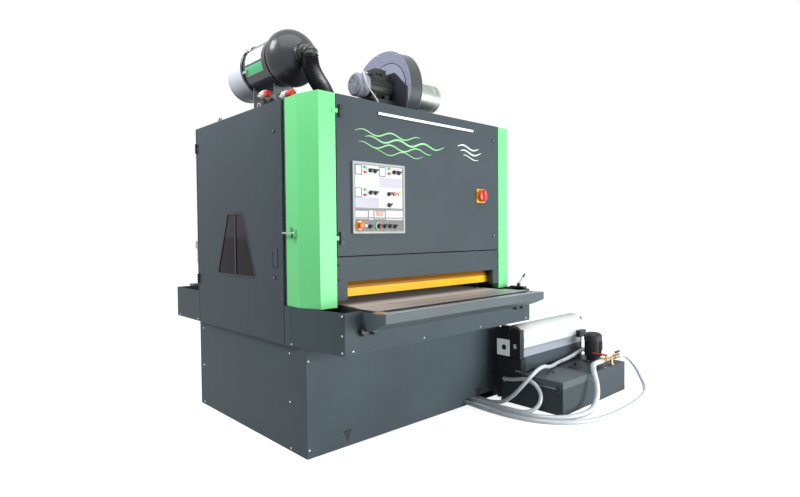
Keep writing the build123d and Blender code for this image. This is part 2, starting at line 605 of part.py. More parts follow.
# Trapped-key interlock rod across the gap between door post and pillar
with BuildPart() as interlock:
    slab(-HALF - 14, -PILLAR_OUTER, FRONT_OF_BASE + 70, FRONT_OF_BASE + 120, 1325, 1375)
    rod((-HALF - 7, FRONT_OF_BASE + 120, 1345), (0, 1, 0), 5, 85)
save(interlock, "interlock")

# Mist filter on the roof, lying along Y
FILTER_X = -HALF + 255
FILTER_Z = 2535
FILTER_RADIUS = 200
DOME_FRONT_Y = FRONT_OF_BASE + 465
INLET_Y = DOME_FRONT_Y - 14
DOME_WAIST_Y = FRONT_OF_BASE + 540
DOME_BACK_Y = FRONT_OF_BASE + 850
DOME_BULGE = 90
DRUM_BACK_Y = FRONT_OF_BASE + 1050
CAN_BACK_Y = FRONT_OF_BASE + 1284
CAN_RADIUS = 170
CAN_EDGE = 12
LATCHES = 5
filter_axis = Axis((FILTER_X, 0, FILTER_Z), (0, 1, 0))
filter_plane = Plane(origin=(FILTER_X, 0, FILTER_Z), x_dir=(0, 1, 0), z_dir=(1, 0, 0))

with BuildPart() as filter_dome:
    with BuildSketch(filter_plane):
        with BuildLine():
            face = Line((DOME_FRONT_Y, 0), (DOME_FRONT_Y, FILTER_RADIUS - DOME_BULGE))
            bulge = CenterArc((DOME_FRONT_Y + DOME_BULGE, FILTER_RADIUS - DOME_BULGE), DOME_BULGE, 180, -70)
            Polyline(bulge @ 1, (DOME_WAIST_Y + 30, FILTER_RADIUS), (DOME_BACK_Y - 60, FILTER_RADIUS - 14),
                     (DOME_BACK_Y, FILTER_RADIUS - 14), (DOME_BACK_Y, 0), face @ 0)
        make_face()
    revolve(axis=filter_axis)
    rod((FILTER_X, INLET_Y, FILTER_Z), (0, 1, 0), HOSE_RADIUS + 6, DOME_WAIST_Y - INLET_Y)
save(filter_dome, "filter_dome")

with BuildPart() as filter_drum:
    with BuildSketch(filter_plane):
        with BuildLine():
            Polyline((DOME_BACK_Y, 0), (DOME_BACK_Y, FILTER_RADIUS + 8), (DOME_BACK_Y + 14, FILTER_RADIUS + 8),
                     (DOME_BACK_Y + 14, FILTER_RADIUS - 4), (DRUM_BACK_Y - 14, FILTER_RADIUS - 4),
                     (DRUM_BACK_Y - 14, FILTER_RADIUS + 6), (DRUM_BACK_Y, FILTER_RADIUS + 6),
                     (DRUM_BACK_Y, 0), close=True)
        make_face()
    revolve(axis=filter_axis)
    with Locations(Plane(origin=(FILTER_X, DOME_BACK_Y + 14, FILTER_Z), x_dir=(1, 0, 0), z_dir=(0, -1, 0))):
        with PolarLocations(FILTER_RADIUS + 2, LATCHES, start_angle=-15, angular_range=210, endpoint=True):
            Box(20, 34, 52, align=(Align.CENTER, Align.CENTER, Align.MAX))
save(filter_drum, "filter_drum")

with BuildPart() as filter_can:
    with BuildSketch(filter_plane):
        with BuildLine():
            Polyline((DRUM_BACK_Y, 0), (DRUM_BACK_Y, CAN_RADIUS), (CAN_BACK_Y - CAN_EDGE, CAN_RADIUS),
                     (CAN_BACK_Y, CAN_RADIUS - CAN_EDGE), (CAN_BACK_Y, 0), close=True)
        make_face()
    revolve(axis=filter_axis)
save(filter_can, "filter_can")

# Filter stand: two saddles on the roof
with BuildPart() as filter_stand:
    for saddle_y in (DOME_BACK_Y + 40, DRUM_BACK_Y - 50):
        with BuildSketch(Plane.XZ.offset(-saddle_y)):
            with Locations((FILTER_X, (ROOF_TOP + FILTER_Z - 100) / 2)):
                Rectangle(260, FILTER_Z - 100 - ROOF_TOP)
            with Locations((FILTER_X, FILTER_Z)):
                Circle(FILTER_RADIUS - 4, mode=Mode.SUBTRACT)
        extrude(amount=8)
save(filter_stand, "filter_stand")

# Corrugated suction hose from the dome down to its spigot on the roof
with BuildPart() as suction_hose:
    with BuildLine():
        FilletPolyline(
            (FILTER_X, INLET_Y, FILTER_Z), (FILTER_X, FRONT_OF_BASE + 290, FILTER_Z),
            (*COLLAR, 2290), (*COLLAR, ROOF_TOP + COLLAR_HEIGHT),
            radius=(95, 200),
        )
    with BuildSketch(Plane(origin=(FILTER_X, INLET_Y, FILTER_Z), z_dir=(0, -1, 0))):
        Circle(HOSE_RADIUS)
    sweep()
save(suction_hose, "suction_hose")

# Air service units on the roof's left edge and behind the rear wall; black mounts and cable gland
AIR_PLACES = ((-HALF + 106, FRONT_OF_BASE + 560), (-HALF + 116, FRONT_OF_BASE + 380))
AIR_HEIGHT = 62
ROOF_GLAND = (28, FRONT_OF_BASE + 402)
GLAND_RADIUS = 9
GLAND_LENGTH = 12
with BuildPart() as air_units:
    for x, y in AIR_PLACES:
        rod((x, y - 26, ROOF_TOP + AIR_HEIGHT), (0, 1, 0), 27, 52)
    rod((-HALF + 40, CABINET_BACK_Y + 35, 1100), (0, 0, 1), 30, 130)
    slab(-HALF + 8, -HALF + 72, CABINET_BACK_Y, CABINET_BACK_Y + 68, 1230, 1290)
save(air_units, "air_units")

with BuildPart() as air_mounts:
    for x, y in AIR_PLACES:
        slab(x - 22, x + 22, y - 34, y + 34, ROOF_TOP, ROOF_TOP + 8)
        rod((x, y, ROOF_TOP + 8), (0, 0, 1), 12, 16)
        with Locations((x, y, ROOF_TOP + 24)):
            Cylinder(12, AIR_HEIGHT - 24, align=(Align.CENTER, Align.CENTER, Align.MIN))
        with Locations(Plane(origin=(x, y - 26, ROOF_TOP + AIR_HEIGHT), z_dir=(0, 1, 0))):
            Cylinder(27, 52, align=(Align.CENTER, Align.CENTER, Align.MIN), mode=Mode.SUBTRACT)
        rod((x, y - 26, ROOF_TOP + AIR_HEIGHT), (0, -1, 0), 18, 34)
        slab(x - 17, x + 17, y + 26, y + 44, ROOF_TOP + AIR_HEIGHT - 17, ROOF_TOP + AIR_HEIGHT + 17)
    rod((*ROOF_GLAND, ROOF_TOP), (0, 0, 1), GLAND_RADIUS, GLAND_LENGTH)
save(air_mounts, "air_mounts")

# Lifting eyes on the roof
EYE_RADIUS = 24
EYE_THICKNESS = 10
with BuildPart() as lifting_eyes:
    for eye_x in (-HALF + 60, HALF - 60):
        for eye_y in (FRONT_OF_BASE + 590, FRONT_OF_BASE + 1190):
            rod((eye_x, eye_y, ROOF_TOP), (0, 0, 1), 16, 8)
            eye_plane = Plane(origin=(eye_x - EYE_THICKNESS / 2, eye_y, ROOF_TOP + 6 + EYE_RADIUS),
                              z_dir=(1, 0, 0))
            with Locations(eye_plane):
                Cylinder(EYE_RADIUS, EYE_THICKNESS, align=(Align.CENTER, Align.CENTER, Align.MIN))
                Cylinder(EYE_RADIUS - 9, EYE_THICKNESS, align=(Align.CENTER, Align.CENTER, Align.MIN),
                         mode=Mode.SUBTRACT)
save(lifting_eyes, "lifting_eyes")

# Extraction fan: scroll in the YZ plane, motor to its left, round spigot to its right
FAN_Y = FRONT_OF_BASE + 530
FAN_Z = 2460
SCROLL_X = 200
SCROLL_WIDTH = 130
SCROLL_RADIUS = 288
SCROLL_LIFT = 14
SPIGOT_RADIUS = 112
SPIGOT_LENGTH = 367
INLET_RADIUS = 152
MOTOR_RADIUS = 84
MOTOR_LENGTH = 330
RIB_HEIGHT = 8
NECK_WIDTH = 196
fan_axis_z = FAN_Z + SCROLL_LIFT
with BuildPart() as fan_scroll:
    with BuildSketch(Plane.YZ.offset(SCROLL_X)):
        with Locations((FAN_Y, fan_axis_z)):
            Circle(SCROLL_RADIUS)
        with Locations((FAN_Y + SCROLL_RADIUS - NECK_WIDTH / 2, (ROOF_TOP + fan_axis_z) / 2)):
            Rectangle(NECK_WIDTH, fan_axis_z - ROOF_TOP)
    extrude(amount=SCROLL_WIDTH)
    with BuildSketch(Plane.YZ.offset(SCROLL_X)):
        with Locations((FAN_Y, fan_axis_z)):
            Circle(INLET_RADIUS)
            Circle(INLET_RADIUS - 12, mode=Mode.SUBTRACT)
    extrude(amount=-4)
save(fan_scroll, "fan_scroll")

with BuildPart() as fan_spigot:
    spigot_start = (SCROLL_X + SCROLL_WIDTH, FAN_Y, fan_axis_z)
    rod(spigot_start, (1, 0, 0), SPIGOT_RADIUS, SPIGOT_LENGTH)
    with Locations(Plane(origin=spigot_start, z_dir=(1, 0, 0))):
        Cylinder(SPIGOT_RADIUS - 4, SPIGOT_LENGTH, align=(Align.CENTER, Align.CENTER, Align.MIN),
                 mode=Mode.SUBTRACT)
save(fan_spigot, "fan_spigot")

# Motor plate on the scroll, with a foot on the roof and a shelf under the motor
STAND_THICKNESS = 10
STAND_X = SCROLL_X - 4 - STAND_THICKNESS
SHELF_Z = FAN_Z - MOTOR_RADIUS - 14
with BuildPart() as fan_stand:
    with BuildSketch(Plane.YZ.offset(STAND_X)):
        with BuildLine():
            Polyline((FAN_Y - 226, ROOF_TOP), (FAN_Y - 226, 2460), (FAN_Y - 90, 2590),
                     (FAN_Y + 90, 2590), (FAN_Y + 180, 2500), (FAN_Y + 180, ROOF_TOP), close=True)
        make_face()
    extrude(amount=STAND_THICKNESS)
    slab(STAND_X - 110, STAND_X, FAN_Y - 226, FAN_Y + 180, ROOF_TOP, ROOF_TOP + 8)
    slab(STAND_X - 250, STAND_X, FAN_Y - 100, FAN_Y + 100, SHELF_Z - 10, SHELF_Z)
    for side in (-1, 1):
        with BuildSketch(Plane.XZ.offset(-(FAN_Y + side * 96) - 4)):
            with BuildLine():
                Polyline((STAND_X, SHELF_Z - 10), (STAND_X, SHELF_Z - 150), (STAND_X - 240, SHELF_Z - 10),
                         close=True)
            make_face()
        extrude(amount=8)
save(fan_stand, "fan_stand")

# Motor: ribbed body on two feet, end cowl, terminal box on top
COWL_LENGTH = 96
COWL_X = STAND_X - MOTOR_LENGTH + COWL_LENGTH
MOTOR_RIBS = 20
GLAND_X = STAND_X - 160
GLAND_Z = FAN_Z + 108
with BuildPart() as fan_motor:
    motor_plane = Plane(origin=(STAND_X, FAN_Y, FAN_Z), x_dir=(0, 1, 0), z_dir=(-1, 0, 0))
    with BuildSketch(motor_plane):
        Circle(MOTOR_RADIUS - RIB_HEIGHT)
        with PolarLocations(MOTOR_RADIUS - RIB_HEIGHT, MOTOR_RIBS, start_angle=9):
            Rectangle(2 * RIB_HEIGHT - 4, 5)
    extrude(amount=MOTOR_LENGTH - COWL_LENGTH)
    for foot_x in (STAND_X - 60, STAND_X - 190):
        slab(foot_x - 20, foot_x + 20, FAN_Y - 70, FAN_Y + 70, SHELF_Z, FAN_Z - 55)
    slab(GLAND_X, STAND_X - 50, FAN_Y - 48, FAN_Y + 48, FAN_Z + 60, FAN_Z + 142)
    rod((GLAND_X, FAN_Y, GLAND_Z), (-1, 0, 0), GLAND_RADIUS, GLAND_LENGTH)
    with BuildSketch(Plane(origin=(COWL_X, FAN_Y, FAN_Z), x_dir=(-1, 0, 0), z_dir=(0, -1, 0))):
        with BuildLine():
            Polyline((0, 0), (0, MOTOR_RADIUS + 3), (COWL_LENGTH - 14, MOTOR_RADIUS + 3),
                     (COWL_LENGTH, MOTOR_RADIUS - 11), (COWL_LENGTH, 62), (COWL_LENGTH - 8, 62),
                     (COWL_LENGTH - 8, 0), close=True)
        make_face()
    revolve(axis=Axis((COWL_X, FAN_Y, FAN_Z), (1, 0, 0)))
save(fan_motor, "fan_motor")

# Lever on the right skirt
with BuildPart() as side_lever:
    slab(HALF - 90, HALF - 44, FRONT_OF_BASE - 280, FRONT_OF_BASE - 150, BED_TOP, BED_TOP + 14)
    rod((HALF - 66, FRONT_OF_BASE - 220, BED_TOP + 14), (0, 0, 1), 14, 24)
    rod((HALF - 66, FRONT_OF_BASE - 220, BED_TOP + 30), (0.8, 0, 0.7), 7, 110)
save(side_lever, "side_lever")

# Coolant filter unit: open tank, deck over its rear and right, lid over its left front
UNIT_LEFT = 805
UNIT_RIGHT = 1795
UNIT_FRONT_Y = FRONT_OF_BASE - 656
UNIT_BACK_Y = FRONT_OF_BASE - 110
TANK_SHEET = 4
TANK_RIM = 233
DECK_TOP = TANK_RIM + TANK_SHEET
LID_RIGHT = 1193
LID_BACK_Y = FRONT_OF_BASE - 310
LID_TOP = TANK_RIM + 14
LID_LIP = 36
with BuildPart() as coolant_tank:
    slab(UNIT_LEFT, UNIT_RIGHT, UNIT_FRONT_Y, UNIT_BACK_Y, 0, TANK_RIM)
    with BuildSketch(Plane.XY.offset(TANK_SHEET)):
        with Locations(((UNIT_LEFT + UNIT_RIGHT) / 2, (UNIT_FRONT_Y + UNIT_BACK_Y) / 2)):
            Rectangle(UNIT_RIGHT - UNIT_LEFT - 2 * TANK_SHEET, UNIT_BACK_Y - UNIT_FRONT_Y - 2 * TANK_SHEET)
    extrude(amount=TANK_RIM - TANK_SHEET, mode=Mode.SUBTRACT)
save(coolant_tank, "coolant_tank")

with BuildPart() as tank_deck:
    slab(UNIT_LEFT, UNIT_RIGHT, UNIT_FRONT_Y, UNIT_BACK_Y, TANK_RIM, DECK_TOP)
    slab(UNIT_LEFT, LID_RIGHT, UNIT_FRONT_Y, LID_BACK_Y, TANK_RIM, DECK_TOP, Mode.SUBTRACT)
save(tank_deck, "tank_deck")

with BuildPart() as tank_lid:
    slab(UNIT_LEFT - TANK_SHEET, LID_RIGHT, UNIT_FRONT_Y - TANK_SHEET, LID_BACK_Y, TANK_RIM, LID_TOP)
    fillet(tank_lid.edges().group_by(Axis.Z)[-1], radius=6)
    slab(UNIT_LEFT - TANK_SHEET, UNIT_LEFT, UNIT_FRONT_Y - TANK_SHEET, LID_BACK_Y,
         TANK_RIM - LID_LIP, TANK_RIM)
    slab(UNIT_LEFT, LID_RIGHT, UNIT_FRONT_Y - TANK_SHEET, UNIT_FRONT_Y, TANK_RIM - LID_LIP, TANK_RIM)
    rod((1021, FRONT_OF_BASE - 454, LID_TOP), (0, 0, 1), 10, 16)
save(tank_lid, "tank_lid")

# Filter trough on the deck, with the paper roll over it
TROUGH_LEFT = 829
TROUGH_RIGHT = 1720
TROUGH_FRONT_Y = FRONT_OF_BASE - 290
TROUGH_BACK_Y = FRONT_OF_BASE - 120
TROUGH_FEET = 20
TROUGH_DEPTH = 171
TROUGH_BOTTOM = DECK_TOP + TROUGH_FEET
TROUGH_TOP = TROUGH_BOTTOM + TROUGH_DEPTH
ROLL_Y = FRONT_OF_BASE - 215
ROLL_Z = TROUGH_TOP + 87
ROLL_RADIUS = 95
CORE_RADIUS = 36
with BuildPart() as filter_trough:
    slab(TROUGH_LEFT, TROUGH_RIGHT, TROUGH_FRONT_Y, TROUGH_BACK_Y, TROUGH_BOTTOM, TROUGH_TOP)
    slab(TROUGH_LEFT, TROUGH_RIGHT, TROUGH_FRONT_Y + SHEET, TROUGH_BACK_Y - SHEET,
         TROUGH_BOTTOM + SHEET, TROUGH_TOP, Mode.SUBTRACT)
    for foot_x in (TROUGH_LEFT + 60, TROUGH_RIGHT - 140):
        slab(foot_x, foot_x + 80, TROUGH_FRONT_Y + 20, TROUGH_BACK_Y - 20, DECK_TOP, TROUGH_BOTTOM)
save(filter_trough, "filter_trough")

RAIL_BACK_Y = TROUGH_FRONT_Y + SHEET + 2
RAIL_HEIGHT = 14

with BuildPart() as fleece_roll:
    rod((TROUGH_LEFT, ROLL_Y, ROLL_Z), (1, 0, 0), ROLL_RADIUS, TROUGH_RIGHT - TROUGH_LEFT)
    slab(TROUGH_LEFT, TROUGH_RIGHT, ROLL_Y - ROLL_RADIUS, ROLL_Y - ROLL_RADIUS + 3,
         TROUGH_TOP + RAIL_HEIGHT, ROLL_Z)
    with Locations(Plane(origin=(TROUGH_LEFT, ROLL_Y, ROLL_Z), z_dir=(1, 0, 0))):
        Cylinder(CORE_RADIUS, TROUGH_RIGHT - TROUGH_LEFT,
                 align=(Align.CENTER, Align.CENTER, Align.MIN), mode=Mode.SUBTRACT)
save(fleece_roll, "fleece_roll")

# End frames: they stand on the deck and carry the trough and the roll's spindle
FRAME_TOP = ROLL_Z + 70
SHELF_TOP = TROUGH_BOTTOM + 105
COVER_FOOT = TROUGH_BOTTOM - 7
RIGHT_FRAME = 10
SPINDLE_RADIUS = 14
with BuildPart() as trough_frames:
    slab(796, TROUGH_LEFT, FRONT_OF_BASE - 212, FRONT_OF_BASE - 122, SHELF_TOP, FRAME_TOP)
    slab(TROUGH_RIGHT, TROUGH_RIGHT + RIGHT_FRAME, FRONT_OF_BASE - 300, TROUGH_BACK_Y, DECK_TOP, FRAME_TOP)
    rod((780, FRONT_OF_BASE - 160, TROUGH_TOP + 9), (1, 0, 0), 24, 16)
    slab(TROUGH_LEFT, TROUGH_RIGHT, RAIL_BACK_Y - 28, RAIL_BACK_Y, TROUGH_TOP, TROUGH_TOP + RAIL_HEIGHT)
    rod((TROUGH_LEFT, ROLL_Y, ROLL_Z), (1, 0, 0), SPINDLE_RADIUS, TROUGH_RIGHT - TROUGH_LEFT)
    for start in (TROUGH_LEFT + 4, TROUGH_RIGHT - 34):
        rod((start, ROLL_Y, ROLL_Z), (1, 0, 0), CORE_RADIUS, 30)
save(trough_frames, "trough_frames")

# Covers at the trough's ends, and the drain elbow on the tank's left side
DRAIN_X = UNIT_LEFT - 22
DRAIN_Y = FRONT_OF_BASE - 152
DRAIN_ELBOW = 22
DRAIN_Z = TANK_RIM - 43
DRAIN_RADIUS = 17
with BuildPart() as unit_covers:
    slab(770, TROUGH_LEFT, FRONT_OF_BASE - 325, UNIT_BACK_Y, COVER_FOOT, SHELF_TOP)
    slab(810, TROUGH_LEFT, FRONT_OF_BASE - 300, UNIT_BACK_Y - 20, DECK_TOP, COVER_FOOT)
    slab(780, TROUGH_LEFT, FRONT_OF_BASE - 308, FRONT_OF_BASE - 212, SHELF_TOP, FRAME_TOP)
    slab(790, TROUGH_LEFT, FRONT_OF_BASE - 206, FRONT_OF_BASE - 124, FRAME_TOP, FRAME_TOP + 20)
    slab(1612, TROUGH_RIGHT - 2, RAIL_BACK_Y - 62, RAIL_BACK_Y - 28, TROUGH_TOP - 4, TROUGH_TOP + 52)
    rod((UNIT_LEFT, DRAIN_Y + DRAIN_ELBOW, DRAIN_Z), (-1, 0, 0), DRAIN_RADIUS, UNIT_LEFT - DRAIN_X)
    rod((DRAIN_X, DRAIN_Y + DRAIN_ELBOW, DRAIN_Z), (0, -1, 0), DRAIN_RADIUS, DRAIN_ELBOW)
    with Locations((DRAIN_X, DRAIN_Y + DRAIN_ELBOW, DRAIN_Z)):
        Sphere(DRAIN_RADIUS)
save(unit_covers, "unit_covers")

# Coolant pump on the deck: flange, ribbed motor, cowl and terminal box
PUMP_X = 1625
PUMP_Y = FRONT_OF_BASE - 460
PUMP_RADIUS = 71
PUMP_TOP = DECK_TOP + 238
with BuildPart() as coolant_pump:
    rod((PUMP_X, PUMP_Y, DECK_TOP), (0, 0, 1), PUMP_RADIUS + 12, 12)
    rod((PUMP_X, PUMP_Y, DECK_TOP + 12), (0, 0, 1), PUMP_RADIUS - 16, 34)
    with BuildSketch(Plane.XY.offset(DECK_TOP + 46)):
        with Locations((PUMP_X, PUMP_Y)):
            Circle(PUMP_RADIUS - RIB_HEIGHT)
            with PolarLocations(PUMP_RADIUS - RIB_HEIGHT, 18):
                Rectangle(2 * RIB_HEIGHT - 4, 5)
    extrude(amount=PUMP_TOP - 60 - DECK_TOP - 46)
    slab(PUMP_X + 56, PUMP_X + 98, PUMP_Y - 36, PUMP_Y + 36, DECK_TOP + 81, DECK_TOP + 161)
    with BuildSketch(Plane(origin=(PUMP_X, PUMP_Y, PUMP_TOP - 60), x_dir=(1, 0, 0), z_dir=(0, -1, 0))):
        with BuildLine():
            Polyline((0, 0), (PUMP_RADIUS + 2, 0), (PUMP_RADIUS + 2, 44), (PUMP_RADIUS - 14, 60),
                     (0, 60), close=True)
        make_face()
    revolve(axis=Axis((PUMP_X, PUMP_Y, 0), (0, 0, 1)))
save(coolant_pump, "coolant_pump")

# Brass manifold with two ball valves and their levers, and the spray spigot on the trough
MANIFOLD_Y = FRONT_OF_BASE - 622
MANIFOLD_Z = DECK_TOP + 53
MANIFOLD_LEFT = 1450
MANIFOLD_RIGHT = 1735
PIPE_RADIUS = 13
VALVE_PLACES = (1532, 1700)
SPRAY_X = 1690
SPRAY_Y = FRONT_OF_BASE - 346
SPRAY_Z = TROUGH_BOTTOM + 53
with BuildPart() as manifold:
    rod((MANIFOLD_LEFT, MANIFOLD_Y, MANIFOLD_Z), (1, 0, 0), PIPE_RADIUS, MANIFOLD_RIGHT - MANIFOLD_LEFT)
    rod((MANIFOLD_LEFT, MANIFOLD_Y, MANIFOLD_Z), (1, 0, 0), 21, 30)
    rod((MANIFOLD_RIGHT, MANIFOLD_Y, MANIFOLD_Z), (-1, 0, 0), 17, 24)
    rod((PUMP_X, MANIFOLD_Y, DECK_TOP), (0, 0, 1), PIPE_RADIUS, MANIFOLD_Z - DECK_TOP)
    rod((PUMP_X, MANIFOLD_Y, DECK_TOP), (0, 0, 1), 22, 8)
    for valve_x in VALVE_PLACES:
        rod((valve_x - 26, MANIFOLD_Y, MANIFOLD_Z), (1, 0, 0), 19, 52)
        rod((valve_x, MANIFOLD_Y, MANIFOLD_Z + 10), (0, 0, 1), 7, 20)
    rod((SPRAY_X + 12, TROUGH_FRONT_Y, SPRAY_Z), (0, -1, 0), 11, TROUGH_FRONT_Y - SPRAY_Y)
    rod((SPRAY_X, SPRAY_Y, SPRAY_Z), (1, 0, 0), 17, 26)
save(manifold, "manifold")

with BuildPart() as valve_levers:
    lever_z = MANIFOLD_Z + 30
    slab(VALVE_PLACES[0] - 8, VALVE_PLACES[0] + 8, MANIFOLD_Y - 10, MANIFOLD_Y + 118, lever_z, lever_z + 5)
    slab(VALVE_PLACES[1] - 8, VALVE_PLACES[1] + 62, MANIFOLD_Y - 8, MANIFOLD_Y + 8, lever_z, lever_z + 5)
save(valve_levers, "valve_levers")

# The fan motor's cable, and the hoses between the unit and the machine's base, each a route
# of straight runs and arcs
RETURN_HOSE_RADIUS = 21
FEED_HOSE_RADIUS = 17
SMALL_HOSE_RADIUS = 15
CABLE_RADIUS = 5.5
F = FRONT_OF_BASE
CABLE_ROUTE = (
    (GLAND_X - GLAND_LENGTH, FAN_Y, GLAND_Z), (-24, FAN_Y, GLAND_Z), (-68, F + 516, 2566),
    (-104, F + 474, 2556), (-122, F + 432, 2516), (-116, F + 418, 2462), (-86, F + 418, 2412),
    (-46, F + 414, 2372), (-10, F + 408, 2330), (16, F + 404, 2280), (*ROOF_GLAND, 2226),
    (*ROOF_GLAND, ROOF_TOP + GLAND_LENGTH),
)
RETURN_ROUTE = (
    (MANIFOLD_LEFT, MANIFOLD_Y, MANIFOLD_Z), (1364, MANIFOLD_Y, MANIFOLD_Z), (1268, F - 646, 300),
    (1191, F - 692, 260), (1156, F - 736, 189), (1131, F - 752, 96), (1056, F - 762, 33),
    (933, F - 770, 21), (780, F - 736, 21), (664, F - 648, 21), (596, F - 510, 21),
    (582, F - 340, 21), (594, F - 170, 21), (592, F - 30, 28), (590, F + 95, 28),
)
FEED_ROUTE = (
    (MANIFOLD_RIGHT, MANIFOLD_Y, MANIFOLD_Z), (1806, MANIFOLD_Y, MANIFOLD_Z), (1876, F - 644, 260),
    (1926, F - 684, 190), (1919, F - 738, 104), (1868, F - 796, 39), (1750, F - 844, 17),
    (1550, F - 882, 17), (1310, F - 906, 17), (1070, F - 906, 17), (850, F - 872, 17),
    (672, F - 770, 17), (556, F - 606, 17), (508, F - 406, 17), (504, F - 200, 17),
    (508, F - 40, 23), (510, F + 95, 28),
)
SPRAY_ROUTE = (
    (SPRAY_X, SPRAY_Y, SPRAY_Z), (1628, SPRAY_Y, SPRAY_Z), (1544, F - 340, 290), (1410, F - 332, 268),
    (1270, F - 340, 265), (1110, F - 386, 272), (990, F - 420, 288), (905, F - 438, 314),
    (816, F - 436, 302), (744, F - 416, 250), (705, F - 366, 173), (692, F - 296, 94),
    (682, F - 216, 34), (675, F - 110, 16), (671, F - 16, 22), (669, F + 80, 26),
)
DRAIN_ROUTE = (
    (DRAIN_X, DRAIN_Y, DRAIN_Z), (DRAIN_X, F - 216, DRAIN_Z), (779, F - 290, 210), (774, F - 366, 226),
    (771, F - 444, 210), (770, F - 500, 145), (736, F - 512, 77), (687, F - 482, 29),
    (647, F - 422, 15), (640, F - 310, 15), (634, F - 190, 15), (631, F - 76, 18),
    (629, F + 30, 26), (628, F + 120, 26),
)


def hose(name, route, radius):
    """Build a hose along its route, each arc as large as the runs beside it allow."""
    points = [Vector(*point) for point in route]
    radii = []
    for before, here, after in zip(points, points[1:], points[2:]):
        turn = (here - before).get_angle(after - here)
        shorter = min((here - before).length, (after - here).length)
        radii.append(0.45 * shorter / tan(radians(turn / 2)))
    with BuildPart() as tube:
        with BuildLine() as path:
            FilletPolyline(*points, radius=radii)
        with BuildSketch(Plane(origin=points[0], z_dir=points[1] - points[0])) as section:
            Circle(radius)
        sweep(sections=section.sketch, path=path.wires()[0])
    ideal = section.sketch.area * path.wires()[0].length
    print(name, "radii in diameters", [round(r / radius / 2, 1) for r in radii],
          "length", round(path.wires()[0].length), "volume share", round(tube.part.volume / ideal, 3))
    save(tube, name)


hose("fan_cable", CABLE_ROUTE, CABLE_RADIUS)
hose("return_hose", RETURN_ROUTE, RETURN_HOSE_RADIUS)
hose("feed_hose", FEED_ROUTE, FEED_HOSE_RADIUS)
hose("spray_hose", SPRAY_ROUTE, SMALL_HOSE_RADIUS)
hose("drain_hose", DRAIN_ROUTE, SMALL_HOSE_RADIUS)
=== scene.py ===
import json
from math import acos, cos, degrees, pi, radians, sin

import bmesh
import bpy
from mathutils import Matrix, Vector


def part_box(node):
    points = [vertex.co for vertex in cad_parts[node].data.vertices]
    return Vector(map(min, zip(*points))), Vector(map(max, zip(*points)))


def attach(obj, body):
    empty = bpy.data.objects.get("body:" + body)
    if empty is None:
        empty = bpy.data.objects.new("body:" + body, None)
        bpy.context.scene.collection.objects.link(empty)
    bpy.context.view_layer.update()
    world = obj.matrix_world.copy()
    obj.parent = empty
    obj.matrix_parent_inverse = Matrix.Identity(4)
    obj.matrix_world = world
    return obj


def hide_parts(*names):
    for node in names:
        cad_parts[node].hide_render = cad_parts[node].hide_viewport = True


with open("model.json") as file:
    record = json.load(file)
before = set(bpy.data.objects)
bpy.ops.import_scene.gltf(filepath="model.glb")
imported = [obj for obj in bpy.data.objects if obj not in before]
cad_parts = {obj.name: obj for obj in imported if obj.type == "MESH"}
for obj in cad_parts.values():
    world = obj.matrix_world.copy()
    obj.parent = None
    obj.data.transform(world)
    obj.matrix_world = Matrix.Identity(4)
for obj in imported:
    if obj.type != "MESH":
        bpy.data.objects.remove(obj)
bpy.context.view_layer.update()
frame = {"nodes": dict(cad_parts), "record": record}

MM = 0.001
X = Vector((1, 0, 0))
Y = Vector((0, 1, 0))
Z = Vector((0, 0, 1))

# Camera, set up as the photograph was taken
CAMERA_PLACE = Vector((-2.6665, -3.4513, 1.3376))
YAW = radians(42.805)
PITCH = radians(-1.638)
ROLL = radians(0.504)
LENS = 24.22
SENSOR = 36.0


def make_camera():
    """Camera at the photograph's place: yaw from +Y towards +X, then pitch, then roll."""
    forward = Vector((sin(YAW) * cos(PITCH), cos(YAW) * cos(PITCH), sin(PITCH)))
    right = Vector((cos(YAW), -sin(YAW), 0))
    down = forward.cross(right)
    rolled_right = cos(ROLL) * right + sin(ROLL) * down
    rolled_down = cos(ROLL) * down - sin(ROLL) * right
    data = bpy.data.cameras.new("camera")
    data.lens = LENS
    data.sensor_width = SENSOR
    data.clip_end = 100
    camera = bpy.data.objects.new("camera", data)
    bpy.context.collection.objects.link(camera)
    axes = Matrix((rolled_right, -rolled_down, -forward)).transposed()
    camera.matrix_world = Matrix.Translation(CAMERA_PLACE) @ axes.to_4x4()
    bpy.context.scene.camera = camera


make_camera()
bpy.context.scene.view_settings.view_transform = "Standard"


